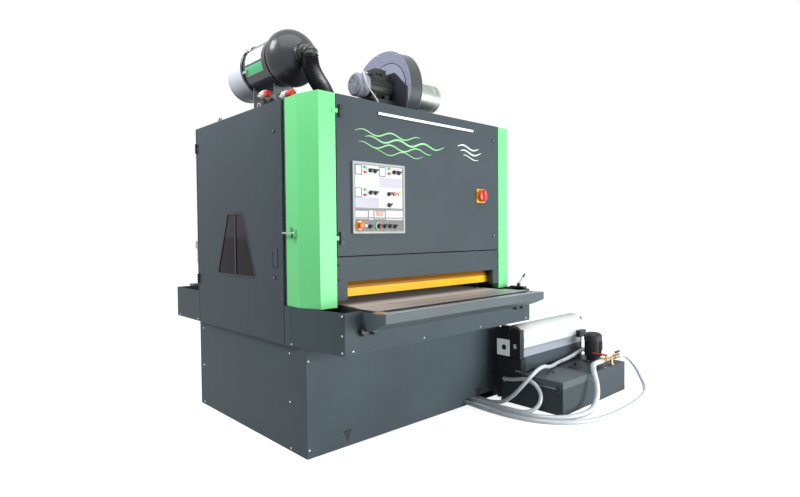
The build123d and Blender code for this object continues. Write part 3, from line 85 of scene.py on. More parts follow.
# Node graphs
class Graph:
    """A shader graph that is built by calls, so that each material stays short to read."""

    def __init__(self, tree):
        self.tree = tree
        self.tree.nodes.clear()

    def node(self, kind, settings=None, **inputs):
        """Add a node, set its properties, then set or link its inputs by name or by i and number."""
        made = self.tree.nodes.new("ShaderNode" + kind)
        for key, value in (settings or {}).items():
            setattr(made, key, value)
        for key, value in inputs.items():
            by_number = key[0] == "i" and key[1:].isdigit()
            socket = made.inputs[int(key[1:]) if by_number else key.replace("_", " ")]
            if isinstance(value, bpy.types.NodeSocket):
                self.tree.links.new(value, socket)
            else:
                socket.default_value = value
        return made

    def math(self, operation, a, b=0.0):
        """Arithmetic on two numbers."""
        return self.node("Math", {"operation": operation}, i0=a, i1=b).outputs[0]

    def mix(self, amount, a, b):
        """Blend of two colours."""
        return self.node("Mix", {"data_type": "RGBA"}, i0=amount, i6=a, i7=b).outputs[2]

    def tones(self, amount, colour, low, high):
        """Blend between a darker and a lighter tone of one colour."""
        return self.mix(amount, shade(colour, low), shade(colour, high))

    def place(self):
        """Position on the object in metres."""
        return self.node("TexCoord").outputs["Object"]

    def axis(self, name):
        """One coordinate of the position."""
        return self.node("SeparateXYZ", Vector=self.place()).outputs["XYZ".index(name)]

    def noise(self, scale, detail=4.0, roughness=0.5, where=None):
        """Noise from 0 to 1, in features per metre."""
        return self.node("TexNoise", Vector=where or self.place(), Scale=scale,
                         Detail=detail, Roughness=roughness).outputs[0]

    def spread(self, value, low, high, out_low, out_high):
        """Map a range of a value onto another range."""
        return self.node("MapRange", Value=value, i1=low, i2=high, i3=out_low, i4=out_high).outputs[0]

    def bump(self, height, strength, distance):
        """Bump from a height."""
        return self.node("Bump", Height=height, Strength=strength, Distance=distance).outputs[0]

    def surface(self, base, rough, **inputs):
        """A principled shader as the material's surface."""
        shader = self.node("BsdfPrincipled", Base_Color=base, Roughness=rough, **inputs)
        self.node("OutputMaterial", Surface=shader.outputs[0])


LOOKS = {}
LEAST_ROUGHNESS = 0.03


def shade(colour, factor):
    """A colour made darker or lighter."""
    return (min(colour[0] * factor, 1), min(colour[1] * factor, 1), min(colour[2] * factor, 1), 1)


def new_look(name):
    """Start a material that is kept among the looks; the result is its empty graph."""
    LOOKS[name] = bpy.data.materials.new(name)
    LOOKS[name].use_nodes = True
    return Graph(LOOKS[name].node_tree)


def painted(name, colour, roughness=0.4, texture=260.0, depth=0.25, coat=0.0, variation=0.08,
            second=None, axis="X", limit=(0.0,), glow=0.0, sheen=0.3):
    """Sprayed or powder paint: orange peel, uneven sheen. Beyond a limit on an axis, a second colour."""
    g = new_look(name)
    cloud = g.noise(2.3, 5.0)
    fine = g.noise(38.0, 3.0)
    base = g.tones(g.spread(cloud, 0.3, 0.7, 0.0, 1.0), colour, 1 - variation, 1 + variation)
    if second:
        other = g.tones(cloud, second, 1 - variation, 1 + variation)
        beyond = 0.0
        for name_of_axis, edge in zip(axis, limit):
            beyond = g.math("MAXIMUM", beyond, g.math("GREATER_THAN", g.axis(name_of_axis), edge))
        base = g.mix(beyond, base, other)
    rough = g.spread(g.math("ADD", cloud, g.math("MULTIPLY", fine, 0.5)), 0.4, 1.1,
                     max(roughness - 0.07, LEAST_ROUGHNESS), roughness + 0.07)
    light = {"Emission_Color": shade(colour, 1.0), "Emission_Strength": glow} if glow else {}
    g.surface(base, rough, Normal=g.bump(g.noise(texture, 2.0), depth, 0.0006), Specular_IOR_Level=sheen,
              Coat_Weight=coat, Coat_Roughness=0.12, **light)


def moulded(name, colour, roughness, coat=0.0):
    """Moulded plastic: fine grain and slightly uneven sheen."""
    g = new_look(name)
    cloud = g.noise(6.0, 4.0)
    rough = g.spread(cloud, 0.3, 0.7, max(roughness - 0.06, LEAST_ROUGHNESS), roughness + 0.06)
    g.surface(g.tones(cloud, colour, 0.93, 1.07), rough, Normal=g.bump(g.noise(700.0, 2.0), 0.2, 0.0004),
              Coat_Weight=coat, Coat_Roughness=0.1)


def milky(name, colour):
    """Milky hose wall: part of the light goes through, with a soft sheen and faint clouds."""
    g = new_look(name)
    cloud = g.noise(9.0, 4.0)
    g.surface(g.tones(cloud, colour, 0.94, 1.05), g.spread(cloud, 0.3, 0.7, 0.23, 0.36),
              Normal=g.bump(g.noise(60.0, 2.0), 0.15, 0.0008), Transmission_Weight=0.10,
              Subsurface_Weight=0.15, Subsurface_Radius=(0.012, 0.013, 0.016), Coat_Weight=0.5,
              Coat_Roughness=0.15)


def bare_metal(name, colour, roughness):
    """Ground or drawn metal with marks along one axis."""
    g = new_look(name)
    stretched = g.node("Mapping", Vector=g.place(), Scale=(1.0, 40.0, 40.0)).outputs[0]
    lines = g.noise(30.0, 3.0, where=stretched)
    rough = g.spread(lines, 0.2, 0.8, roughness - 0.08, roughness + 0.12)
    g.surface(g.tones(g.noise(5.0, 4.0), colour, 0.85, 1.1), rough, Metallic=1.0,
              Normal=g.bump(lines, 0.15, 0.0003))


def cloth_like(name, colour, scale, depth=0.5, pitch=0.0):
    """Fibrous or gritty sheet, with fine ribs across the run where a pitch is given; the grooves between the
    ribs are darkened with painted shade.
    """
    g = new_look(name)
    grit = g.noise(scale, 4.0, 0.7)
    cloud = g.noise(3.0, 4.0)
    base = g.tones(g.spread(grit, 0.3, 0.7, 0.0, 1.0), colour, 0.78, 1.12)
    base = g.mix(g.spread(cloud, 0.35, 0.65, 0.0, 0.35), base, shade(colour, 0.82))
    height = grit
    if pitch:
        ribs = g.math("SINE", g.math("MULTIPLY", g.axis("Y"), 2 * pi / pitch))
        height = g.math("ADD", g.math("MULTIPLY", grit, 0.5), g.math("MULTIPLY", ribs, 0.5))
        # darken the grooves between the ribs: painted shade
        base = g.mix(g.spread(ribs, -1.0, -0.6, 0.35, 0.0), base, shade(colour, 0.55))
    g.surface(base, 0.85, Normal=g.bump(height, depth, 0.0006))


def tinted_pane(name, colour, middle, fade=0.02):
    """Dark pane, lighter above its middle height by a painted reflection, that shows a little of what is
    behind it.
    """
    g = new_look(name)
    cloud = g.noise(3.0, 3.0)
    # lighter above the middle height: painted reflection
    base = g.mix(g.spread(g.axis("Z"), middle - fade, middle + fade, 0.0, 1.0),
                 g.tones(cloud, colour, 0.85, 1.15), shade(colour, 4.0))
    g.surface(base, g.spread(cloud, 0.3, 0.7, 0.042, 0.084), Transmission_Weight=0.06,
              Specular_IOR_Level=0.05)


PANE_REFLECTION_HEIGHT = 1.315
GUARD_SHADE_EDGE = 1.001
COWL_END = -0.048
HINGE_LIMITS = (-0.766, -0.6)
GREEN = (0.17, 0.70, 0.25)
painted("dark_paint", (0.058, 0.074, 0.084), 0.42, depth=0.15, sheen=0.08)
painted("bed_paint", (0.064, 0.084, 0.096), 0.45, depth=0.15, sheen=0.08)
painted("green_paint", GREEN, 0.38, depth=0.08, variation=0.03)
painted("yellow_paint", (0.84, 0.45, 0.006), 0.36, sheen=0.2)
# Guard paint: above a height the yellow turns dark orange, a painted shade on the guard's slanted top
painted("guard_paint_shaded_top", (0.86, 0.47, 0.004), 0.36, second=(0.30, 0.115, 0.003), axis="Z",
        limit=(GUARD_SHADE_EDGE,), sheen=0.15)
painted("light_panel", (0.25, 0.275, 0.27), 0.45)
painted("black_paint", (0.016, 0.018, 0.022), 0.40)
painted("gloss_black", (0.024, 0.027, 0.030), 0.32, coat=0.25, depth=0.06)
painted("scroll_paint", (0.25, 0.26, 0.36), 0.38)
painted("scroll_body", (0.050, 0.058, 0.060), 0.35, coat=0.1)
painted("can_paint", (0.52, 0.54, 0.58), 0.35)
painted("motor_paint", (0.23, 0.24, 0.30), 0.4, second=(0.030, 0.034, 0.032), limit=(COWL_END,))
painted("panel_white", (0.62, 0.63, 0.61), 0.5)
painted("panel_lilac", (0.47, 0.46, 0.52), 0.5)
painted("panel_grey", (0.17, 0.165, 0.165), 0.5)
# Glowing white: the lit strip of the light bar, and on the coolant unit's side plate a glow that is painted
# light
painted("lamp_and_painted_glow", (0.80, 0.86, 0.86), 0.35, glow=0.18)
painted("side_plate", (0.60, 0.61, 0.63), 0.4)
painted("rail_paint", (0.34, 0.36, 0.42), 0.35, depth=0.1)
painted("panel_cream", (0.58, 0.575, 0.54), 0.5)
painted("pale_green", (0.26, 0.60, 0.26), 0.45)
painted("drum_paint", (0.022, 0.026, 0.034), 0.25, coat=0.5, depth=0.08)
painted("deep_grey", (0.030, 0.033, 0.036), 0.45)
painted("hinge_paint", GREEN, 0.38, second=(0.022, 0.024, 0.026), axis="XY", limit=HINGE_LIMITS)
# Table plates of steel, given as light grey paint: their lightness is a painted reflection
painted("slide_plate", (0.40, 0.365, 0.36), 0.40, texture=500.0)
painted("lip_reflection_paint", (0.27, 0.30, 0.33), 0.35, depth=0.1)
painted("nose_plate", (0.30, 0.29, 0.30), 0.36, texture=500.0)
painted("apron_paint", (0.085, 0.108, 0.118), 0.40, depth=0.15, sheen=0.2)
# Lid paint: a lighter copy of the dark body paint, a painted highlight on the tank's lid
painted("lid_highlight_paint", (0.082, 0.105, 0.112), 0.38, depth=0.15, sheen=0.3)
bare_metal("dark_steel", (0.30, 0.32, 0.33), 0.35)
moulded("black_plastic", (0.014, 0.014, 0.016), 0.42)
moulded("rubber_black", (0.010, 0.010, 0.012), 0.35, coat=0.3)
moulded("grey_plastic", (0.40, 0.41, 0.44), 0.40)
moulded("cream_plastic", (0.62, 0.58, 0.46), 0.35)
moulded("red_plastic", (0.60, 0.02, 0.015), 0.30)
moulded("orange_plastic", (0.85, 0.14, 0.02), 0.30, coat=0.4)
moulded("amber_plastic", (0.80, 0.36, 0.03), 0.30, coat=0.4)
moulded("green_plastic", (0.05, 0.42, 0.16), 0.30, coat=0.4)
moulded("white_plastic", (0.60, 0.62, 0.64), 0.35)
moulded("brown_plastic", (0.36, 0.20, 0.09), 0.40)
cloth_like("belt_rubber", (0.62, 0.555, 0.54), 300.0, pitch=0.012)
cloth_like("abrasive", (0.22, 0.09, 0.04), 900.0, 0.8)
cloth_like("fleece", (0.62, 0.62, 0.62), 400.0, 0.25)
bare_metal("bare_steel", (0.50, 0.52, 0.54), 0.32)
bare_metal("galvanized", (0.44, 0.46, 0.44), 0.38)
bare_metal("brass", (0.56, 0.42, 0.24), 0.34)
# The side window's pane, its upper half lighter: a painted reflection
tinted_pane("glass", (0.010, 0.007, 0.010), PANE_REFLECTION_HEIGHT)
milky("hose_clear", (0.61, 0.645, 0.69))
moulded("cable_grey", (0.55, 0.55, 0.53), 0.4)

# Every CAD node takes the look of its slot in the record, apart from a few with a look of their own
OWN_LOOKS = {"fan_motor": "motor_paint", "fixed_hinges": "hinge_paint", "fan_stand": "black_paint",
             "side_lever": "black_paint", "slot_guard": "guard_paint_shaded_top", "table_aprons": "apron_paint",
             "tank_lid": "lid_highlight_paint"}
slot_of = {row["node"]: row["material_slot"] for row in frame["record"]["subparts"]}
for node_name, node_object in frame["nodes"].items():
    node_object.data.materials.clear()
    node_object.data.materials.append(LOOKS[OWN_LOOKS.get(node_name, slot_of[node_name])])


# Stage: pale floor, soft lights, white surroundings
FLOOR_SIZE = 60
FLOOR_GLOW = 0.80
WORLD_LIGHT = 0.25


def shown(g):
    """1 for rays of the camera, of gloss and of glass, 0 for the light that falls on things."""
    path = g.node("LightPath").outputs
    return g.math("MAXIMUM", path["Is Camera Ray"],
                  g.math("MAXIMUM", path["Is Glossy Ray"], path["Is Transmission Ray"]))


def make_stage():
    """Floor and world, both white to the camera and in reflections; the floor keeps the shadow."""
    bpy.ops.mesh.primitive_plane_add(size=FLOOR_SIZE)
    floor = bpy.context.active_object
    floor.name = "stage_floor"
    g = new_look("stage_floor")
    colour = g.mix(g.noise(0.8, 2.0), (0.50, 0.50, 0.50, 1), (0.52, 0.52, 0.52, 1))
    shader = g.node("BsdfPrincipled", Base_Color=colour, Roughness=0.8)
    glow = g.node("Emission", Color=(1, 1, 1, 1), Strength=g.math("MULTIPLY", shown(g), FLOOR_GLOW))
    both = g.node("AddShader", i0=shader.outputs[0], i1=glow.outputs[0])
    g.node("OutputMaterial", Surface=both.outputs[0])
    floor.data.materials.append(LOOKS["stage_floor"])
    world = bpy.data.worlds.new("world")
    bpy.context.scene.world = world
    world.use_nodes = True
    g = Graph(world.node_tree)
    seen = g.node("Background", Color=(1, 1, 1, 1), Strength=1.0)
    lit = g.node("Background", Color=(0.93, 0.97, 1, 1), Strength=WORLD_LIGHT)
    choice = g.node("MixShader", i0=shown(g), i1=lit.outputs[0], i2=seen.outputs[0])
    g.node("OutputWorld", Surface=choice.outputs[0])


def make_light(name, place, target, size, power, colour=(1, 1, 1)):
    """Large soft area light aimed at a point."""
    data = bpy.data.lights.new(name, "AREA")
    data.shape = "RECTANGLE"
    data.size, data.size_y = size
    data.energy = power
    data.color = colour
    lamp = bpy.data.objects.new(name, data)
    bpy.context.collection.objects.link(lamp)
    lamp.location = place
    direction = Vector(target) - Vector(place)
    lamp.rotation_euler = direction.to_track_quat("-Z", "Y").to_euler()


make_stage()
make_light("front_softbox", (2.6, -7.2, 1.3), (0, 0, 1.0), (5.0, 2.6), 580, (0.96, 1.0, 1.0))
make_light("top_softbox", (-1.0, -2.4, 5.8), (0, 0, 1.2), (5.0, 4.0), 190)
make_light("side_softbox", (-2.9, 0.3, 4.2), (-0.95, 0.3, 2.0), (1.4, 1.4), 120, (0.94, 0.97, 1.0))


# Mesh building in millimetres
def corners(node):
    """Lowest and highest corner of a CAD node, in millimetres."""
    low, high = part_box(node)
    return low / MM, high / MM


def turns(count, start=0.0):
    """Angles that share a full turn, from a start given in shares."""
    return [2 * pi * (k + start) / count for k in range(count)]


def block(bm, low, high):
    """Add a box between two corners."""
    made = bmesh.ops.create_cube(bm, size=1)["verts"]
    low, high = Vector(low), Vector(high)
    for vert in made:
        vert.co = Vector(low[i] + (vert.co[i] + 0.5) * (high[i] - low[i]) for i in range(3))


def lathe(bm, origin, axis, profile, segments=24, closed=False):
    """Add a turned shape: a profile of (radius, height) carried round an axis."""
    origin = Vector(origin)
    axis = Vector(axis).normalized()
    across = axis.orthogonal().normalized()
    beside = axis.cross(across)
    rings = []
    for radius, height in profile:
        centre = origin + axis * height
        if radius == 0:
            rings.append([bm.verts.new(centre)] * segments)
            continue
        rings.append([bm.verts.new(centre + radius * (across * cos(a) + beside * sin(a)))
                      for a in turns(segments)])
    pairs = list(zip(rings, rings[1:]))
    if closed:
        pairs.append((rings[-1], rings[0]))
    for lower, upper in pairs:
        for k in range(segments):
            m = (k + 1) % segments
            loop = [lower[k], lower[m], upper[m], upper[k]]
            face = [v for i, v in enumerate(loop) if v not in loop[:i]]
            if len(face) > 2:
                bm.faces.new(face)
    if not closed:
        for ring in (rings[0], rings[-1]):
            if ring[0] is not ring[1]:
                bm.faces.new(ring)


def prism(bm, outline, origin, right, up, depth):
    """Add a plate: an outline in the plane of right and up, raised along their cross product."""
    origin, right, up = Vector(origin), Vector(right), Vector(up)
    out = right.cross(up).normalized()
    low = [bm.verts.new(origin + right * x + up * y) for x, y in outline]
    high = [bm.verts.new(v.co + out * depth) for v in low]
    bm.faces.new(low)
    bm.faces.new(high)
    for k in range(len(low)):
        m = (k + 1) % len(low)
        bm.faces.new((low[k], low[m], high[m], high[k]))


def loft(bm, sections):
    """Add a solid through sections of equally many points, closed at both ends."""
    rows = [[bm.verts.new(point) for point in section] for section in sections]
    for here, there in zip(rows, rows[1:]):
        for k in range(len(here)):
            m = (k + 1) % len(here)
            bm.faces.new((here[k], here[m], there[m], there[k]))
    bm.faces.new(rows[0])
    bm.faces.new(rows[-1])


def round_edges(obj, width, angle):
    """Round the edges sharper than an angle in degrees, by a width in millimetres."""
    rounded = obj.modifiers.new("rounded", "BEVEL")
    rounded.width = width * MM
    rounded.segments = 2
    rounded.limit_method = "ANGLE"
    rounded.angle_limit = radians(angle)


def link(name, data, look, body="root", replaces=None):
    """Make an object of finished data; one that replaces a node hides that node."""
    data.materials.append(LOOKS[look])
    obj = bpy.data.objects.new(name, data)
    bpy.context.collection.objects.link(obj)
    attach(obj, body)
    if replaces:
        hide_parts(replaces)
    return obj


def piece(name, bm, look, body="root", slot=None, replaces=None, bevel=0.0, smooth=38):
    """Finish a mesh in millimetres as a piece in metres, its edges rounded by a bevel."""
    bmesh.ops.recalc_face_normals(bm, faces=bm.faces)
    bmesh.ops.scale(bm, vec=(MM, MM, MM), verts=bm.verts)
    mesh = bpy.data.meshes.new(name)
    bm.to_mesh(mesh)
    bm.free()
    mesh.shade_smooth()
    mesh.set_sharp_from_angle(angle=radians(smooth))
    obj = link(name, mesh, look, body, replaces)
    if bevel:
        round_edges(obj, bevel, 30)


def boxes(name, pairs, look, body="root", **finish):
    """Piece made of boxes, each given by two corners."""
    bm = bmesh.new()
    for low, high in pairs:
        block(bm, low, high)
    piece(name, bm, look, body, **finish)


def turned(name, places, axis, profile, look, segments=24, closed=False, **finish):
    """Piece with one turned shape at each of its places."""
    bm = bmesh.new()
    for place in places:
        lathe(bm, place, axis, profile, segments, closed)
    piece(name, bm, look, **finish)


def lofted(name, lofts, look, body="root", **finish):
    """Piece made of lofts, each given by its sections."""
    bm = bmesh.new()
    for sections in lofts:
        loft(bm, sections)
    piece(name, bm, look, body, **finish)


def bolts(name, places, normal, radius=7.0, look="bare_steel"):
    """Button-head screws with a socket, all in one mesh."""
    head = [(radius, 0), (radius, 0.3 * radius), (0.8 * radius, 0.55 * radius), (0.45 * radius, 0.6 * radius),
            (0.42 * radius, 0.2 * radius), (0, 0.2 * radius)]
    turned(name, places, normal, head, look, 12, smooth=50)


BASE_LOW, BASE_HIGH = corners("base_panels")
SKIRT_LOW, SKIRT_HIGH = corners("bed_skirt")
FRONT = BASE_LOW.y
FACE = corners("front_door")[0].y
SIDE = corners("side_door")[0].x
SKIRT_FRONT = SKIRT_LOW.y

# Screws of the covers
SKIRT_SCREWS_X = (-833, -270, 293, 842)
bolts("base_side_screws", [(BASE_LOW.x, FRONT + y, z) for y, z in (
    (183, 607), (183, 306), (178, 20), (1458, 607), (1458, 316), (1458, 22))], -X)
bolts("base_right_screws", [(-BASE_LOW.x, FRONT + y, z) for y in (183, 1458) for z in (607, 306, 20)], X)
bolts("base_front_screws", [(x, FRONT, z) for x in (-922, 922) for z in (584, 52)], -Y)
bolts("base_rear_screws", [(x, BASE_HIGH.y, z) for x in (-922, 922) for z in (584, 52)], Y)
bolts("skirt_front_screws", [(x, SKIRT_FRONT, 678) for x in SKIRT_SCREWS_X], -Y, 6.5)
bolts("skirt_rear_screws", [(x, SKIRT_HIGH.y, 678) for x in SKIRT_SCREWS_X], Y, 6.5)
for sign, side in ((-1, "left"), (1, "right")):
    run = Vector((-sign * 62, -475, 0)).normalized()
    outward = Vector((sign * 475, -62, 0)).normalized()
    nose = Vector((sign * 893.5, SKIRT_FRONT, 0))
    bolts(f"skirt_{side}_corner_screws", [nose - run * back + Z * z for back, z in (
        (16, 880), (16, 770), (16, 675), (455, 672))], outward, 6.5)
    bolts(f"skirt_{side}_rear_screws", [(sign * -SIDE, FRONT + y, 672) for y in (1524, 1887)],
          X * sign, 6.5)
bolts("slot_panel_screws", [(x, FACE, z) for x in (-772, 772) for z in (1150, 1064)], -Y, 8,
      "black_plastic")

# Marks for the forks of a truck, low on the base
for side, mark_x in (("left", -639), ("right", 651)):
    bm = bmesh.new()
    prism(bm, ((-38, 0), (38, 0), (0, -75)), (mark_x, FRONT, 106), X, Z, 0.5)
    piece(f"fork_mark_{side}", bm, "black_paint", slot="black_paint")

# Table: clamps under the apron, edge guides, then plates and strips between the rollers at both ends: light
# grey plates whose lightness is painted reflection, black strips of painted shade in the gaps, and a light
# lip strip of painted reflection
PLATE_HALF = 733
LIP_HALF = 764
APRON_LOW, APRON_HIGH = corners("table_aprons")
bm = bmesh.new()
for x in (-695, -772, 695, 772):
    block(bm, (x - 24, SKIRT_FRONT - 34, 774), (x + 24, SKIRT_FRONT, 802))
    lathe(bm, (x, SKIRT_FRONT - 18, 774), -Z, [(13, 0), (13, 12), (9, 16), (0, 16)], 12)
piece("apron_clamps", bm, "black_plastic", slot="black_plastic", bevel=2.5)
bm = bmesh.new()
for sign in (-1, 1):
    prism(bm, ((-34, -4), (34, -4), (30, 2), (-34, 2.6)), (sign * 736, SKIRT_FRONT - 96, 897.5),
          X * sign, Z, sign * 88)
piece("edge_guides", bm, "brown_plastic", bevel=1.2)


def across_table(half, start, end, low, high):
    """Corners of a flat strip across the table, between two places along Y."""
    return (-half, min(start, end), low), (half, max(start, end), high)


TABLE_ENDS = (("infeed", -1, SKIRT_FRONT, APRON_LOW.y), ("outfeed", 1, SKIRT_HIGH.y, APRON_HIGH.y))
for end, out, skirt, tip in TABLE_ENDS:
    for name, near, far in (("slide", -113, -15), ("nose", -6, 86)):
        strip = across_table(PLATE_HALF, skirt + out * near, skirt + out * far, 899.6, 902.4)
        boxes(f"{end}_{name}_plate", [strip], f"{name}_plate", bevel=1)
    # Black strips in the gaps between the plates: painted shade where the gaps are
    strips = [across_table(PLATE_HALF, skirt + out * near, skirt + out * (near + 10), 899.4, 901.2)
              for near in (-124, -14, 86)]
    boxes(f"{end}_gap_shade_strips", strips, "black_plastic", bevel=0.5)
    # Light strip on the apron's top edge: a painted reflection
    strip = across_table(LIP_HALF, tip - out * 1.5, tip - out * 42, 899.4, 900.8)
    boxes(f"{end}_lip", [strip], "lip_reflection_paint", bevel=0.3)

# Front door: motif of plain waves; lock inserts
WAVE_LENGTH = 236
WAVE_HEIGHT = 15
WAVE_STEP = 9


def wave(left, z, length, thickness, start):
    """Sections of one ribbon that swings up and down and thins out at both ends."""
    steps = int(length / WAVE_STEP)
    sections = []
    for along in (k / steps for k in range(steps + 1)):
        x = left + length * along
        middle = z + WAVE_HEIGHT * sin(2 * pi * (x - left) / WAVE_LENGTH + start)
        half = thickness / 2 * (0.12 + 0.88 * sin(pi * along) ** 0.5)
        sections.append([(x, y, middle + side * half)
                         for y, side in ((FACE, -1), (FACE, 1), (FACE - 0.4, 1), (FACE - 0.4, -1))])
    return sections


lofted("door_waves", [
    wave(-640, 1962, 560, 9, 0.0), wave(-560, 1926, 720, 13, 0.5), wave(-610, 1886, 640, 9, 1.0),
    wave(-480, 1850, 430, 6, 1.5)], "pale_green", "front_door")
lofted("door_waves_pale", [
    wave(300, 1962, 240, 13, 0.0), wave(330, 1926, 240, 13, 0.5), wave(360, 1890, 180, 8, 1.0)],
       "panel_white", "front_door")

# Three-sided driver studs in the quarter-turn locks
STUD = ((9.5, 0), (9.5, 0.6), (7.5, 0.6), (7.5, 0), (4.6, 0), (4.6, 1.4), (0, 1.4))
turned("front_lock_studs", [(715.5, FACE - 5, 2047), (719.5, FACE - 5, 1313)], -Y, STUD,
       "bare_steel", 3, body="front_door", smooth=20)
turned("side_lock_studs", [(SIDE - 5, FRONT + 302, 1978), (SIDE - 5, FRONT + 314, 1066)], -X, STUD,
       "bare_steel", 3, body="side_door", smooth=20)

# Side door: pull recess round the slot of the handle
HANDLE = Vector((SIDE, FRONT + 307, 1191))


def at_handle(lift, y0, z0, y1, z1):
    """Corners of a plate that stands out from the side door, measured from the handle."""
    return HANDLE + Vector((-lift, y0, z0)), HANDLE + Vector((0, y1, z1))


boxes("pull_frame", [at_handle(3.5, -32, -60, 32, -52), at_handle(3.5, -32, 52, 32, 60),
                     at_handle(3.5, -32, -52, -26, 52), at_handle(3.5, 26, -52, 32, 52)],
      "deep_grey", "side_door", bevel=1)
boxes("pull_tray", [at_handle(0.8, -26, -52, 26, 52), at_handle(2.6, -26, 34, 26, 52)],
      "bed_paint", "side_door", bevel=0.6)

# Control panel: fields, framed meters, buttons, display
PANEL_LOW = corners("control_panel")[0]
FIELD_DEPTH = 4
LEFT, RIGHT, MIDDLE = 14, 411, 211


def on_panel(x, z, lift=0.0):
    """Point over the panel's recessed fields, measured from its lower left corner."""
    return Vector((PANEL_LOW.x + x, PANEL_LOW.y + FIELD_DEPTH - lift, PANEL_LOW.z + z))


def plates(name, rects, look, lift, **finish):
    """Thin plates on the fields, each (left, low, right, high)."""
    boxes(name, [(on_panel(left, low, lift), on_panel(right, high)) for left, low, right, high in rects],
          look, "front_door", **finish)


def borders(name, rects, look, width=4.0, lift=3.0):
    """Raised frames round rectangles."""
    sides = []
    for left, low, right, high in rects:
        sides += [(left, low, right, low + width), (left, high - width, right, high),
                  (left, low + width, left + width, high - width),
                  (right - width, low + width, right, high - width)]
    plates(name, sides, look, lift, bevel=0.5)


def operators(name, places, look, cap, depth, **finish):
    """Push buttons or lamps; one piece holds the bezels of all of them."""
    turned(name, [on_panel(x, z) for x, z in places], -Y,
           [(cap, 0), (cap, depth - 2), (cap - 1.5, depth - 0.6), (cap * 0.5, depth), (0, depth)],
           look, 20, body="front_door", **finish)


METERS = ((20, 360, 72, 419), (210, 359, 263, 418), (18, 222, 70, 280))
GREENS = ((95, 405), (292, 408), (95, 268))
REDS = ((95, 375), (292, 378), (93, 236))
RED_LAMP, AMBER_LAMP = (332, 252), (376, 252)
BUTTON_CAP, LAMP_CAP = 9.5, 13
plates("panel_white_fields", ((LEFT, 161, RIGHT, 430),), "panel_white", 0.3)
plates("panel_cream_field", ((LEFT + 3, 290, MIDDLE - 2, 352),), "panel_cream", 0.6)
plates("panel_lilac_fields", ((MIDDLE + 2, 290, RIGHT - 4, 352), (LEFT + 3, 164, MIDDLE - 2, 222)),
       "panel_lilac", 0.6)
plates("panel_strip", ((LEFT, 14, RIGHT, 86),), "panel_grey", 0.5)
plates("panel_divider", ((LEFT, 148, RIGHT, 161),), "panel_grey", 1.4)
plates("display_fields", ((LEFT, 88, 120, 143), (166, 88, 259, 143)), "panel_cream", 0.5)
plates("display_white", ((126, 86, 160, 143), (264, 86, RIGHT, 146)), "panel_white", 1.2)
plates("display_window", ((185, 112, 240, 138),), "red_plastic", 1.6)
plates("display_bars", [(190 + 12 * k, 118, 197 + 12 * k, 132) for k in range(4)], "orange_plastic", 2.0)
borders("meter_frames", METERS, "deep_grey")
borders("display_frames", ((166, 88, 259, 143), (LEFT, 88, 120, 143)), "panel_grey", 2.5, 1.6)
borders("panel_inner_edge", ((6, 6, 424, 434),), "panel_white", 3.0, 4.4)
plates("meter_faces", [(left + 4, low + 4, right - 4, high - 4) for left, low, right, high in METERS],
       "white_plastic", 1.4)
operators("buttons_green", GREENS, "green_plastic", BUTTON_CAP, 13, replaces="panel_buttons")
operators("buttons_red", REDS, "red_plastic", BUTTON_CAP, 13)
operators("lamp_red", (RED_LAMP,), "red_plastic", LAMP_CAP, 14)
operators("lamp_amber", (AMBER_LAMP,), "amber_plastic", LAMP_CAP, 14)
bm = bmesh.new()
for cap, places in ((BUTTON_CAP, GREENS + REDS), (LAMP_CAP, (RED_LAMP, AMBER_LAMP))):
    bezel = [(cap + 4.5, 0), (cap + 4.5, 2.5), (cap + 3, 3.6), (cap + 0.5, 3.6), (cap + 0.5, 0)]
    for x, z in places:
        lathe(bm, on_panel(x, z), -Y, bezel, 20, closed=True)
piece("button_bezels", bm, "bare_steel", "front_door")

# Start switch: a ring in two colours with a black knob at its middle
RING = on_panel(202, 47)
RING_SECTION = ((16, 0), (16, 5), (18, 6.5), (26, 6.5), (28, 5), (28, 0))
for half, look, turn in (("left", "green_plastic", 90), ("right", "red_plastic", -90)):
    angles = [radians(turn + 180 * k / 16) for k in range(17)]
    sections = [[RING + Vector((r * cos(a), -y, r * sin(a))) for r, y in RING_SECTION] for a in angles]
    lofted(f"start_ring_{half}", [sections], look, "front_door")

# Selector knobs: round collar, body and a slanted grip bar
KNOBS = ((140, 391), (178, 389), (338, 392), (378, 390), (140, 254), (180, 253), (292, 251), (294, 181),
         (136, 45), (206, 47), (254, 47), (300, 47), (342, 45))
GRIP_SLANT = radians(38)
grip = Vector((cos(GRIP_SLANT), 0, sin(GRIP_SLANT)))
bm = bmesh.new()
for x, z in KNOBS:
    lathe(bm, on_panel(x, z), -Y, [(14, 0), (14, 3), (11.5, 5), (11.5, 13), (9.5, 15), (0, 15)], 24)
    prism(bm, ((-15, -3.8), (12, -4.4), (17, 0), (12, 4.4), (-15, 3.8)), on_panel(x, z, 12), grip,
          grip.cross(Y), 12)
piece("selector_knobs", bm, "black_plastic", "front_door", replaces="panel_knobs", bevel=0.8)
turned("strip_cap", [on_panel(98, 48)], -Y, [(10, 0), (10, 9), (8, 11), (0, 11)], "white_plastic", 20,
       body="front_door")

# Emergency stop: mushroom on a yellow collar
STOP = on_panel(50, 50)
turned("stop_collar", [STOP], -Y, [(30, 0), (30, 4), (27, 6.5), (12, 6.5), (12, 0)],
       "amber_plastic", 32, True, body="front_door")
turned("stop_button", [STOP], -Y,
       [(11, 0), (11, 18), (20, 20.5), (22.5, 25), (21.5, 31), (15, 35), (6, 36.6), (0, 37)],
       "orange_plastic", 32, body="front_door", replaces="emergency_stop")

# Light bar: grey housing with a lit strip
BAR_LOW, BAR_HIGH = corners("light_bar")
boxes("light_bar_housing", [(BAR_LOW + Vector((0, 2, 2)), BAR_HIGH - Vector((0, 0, 2)))],
      "dark_paint", "front_door", bevel=1)
strip = (BAR_LOW.x + 4, BAR_LOW.y, BAR_LOW.z + 4), (BAR_HIGH.x - 4, BAR_LOW.y + 4, BAR_HIGH.z - 4)
boxes("light_bar_strip", [strip], "lamp_and_painted_glow", "front_door", replaces="light_bar", bevel=2)

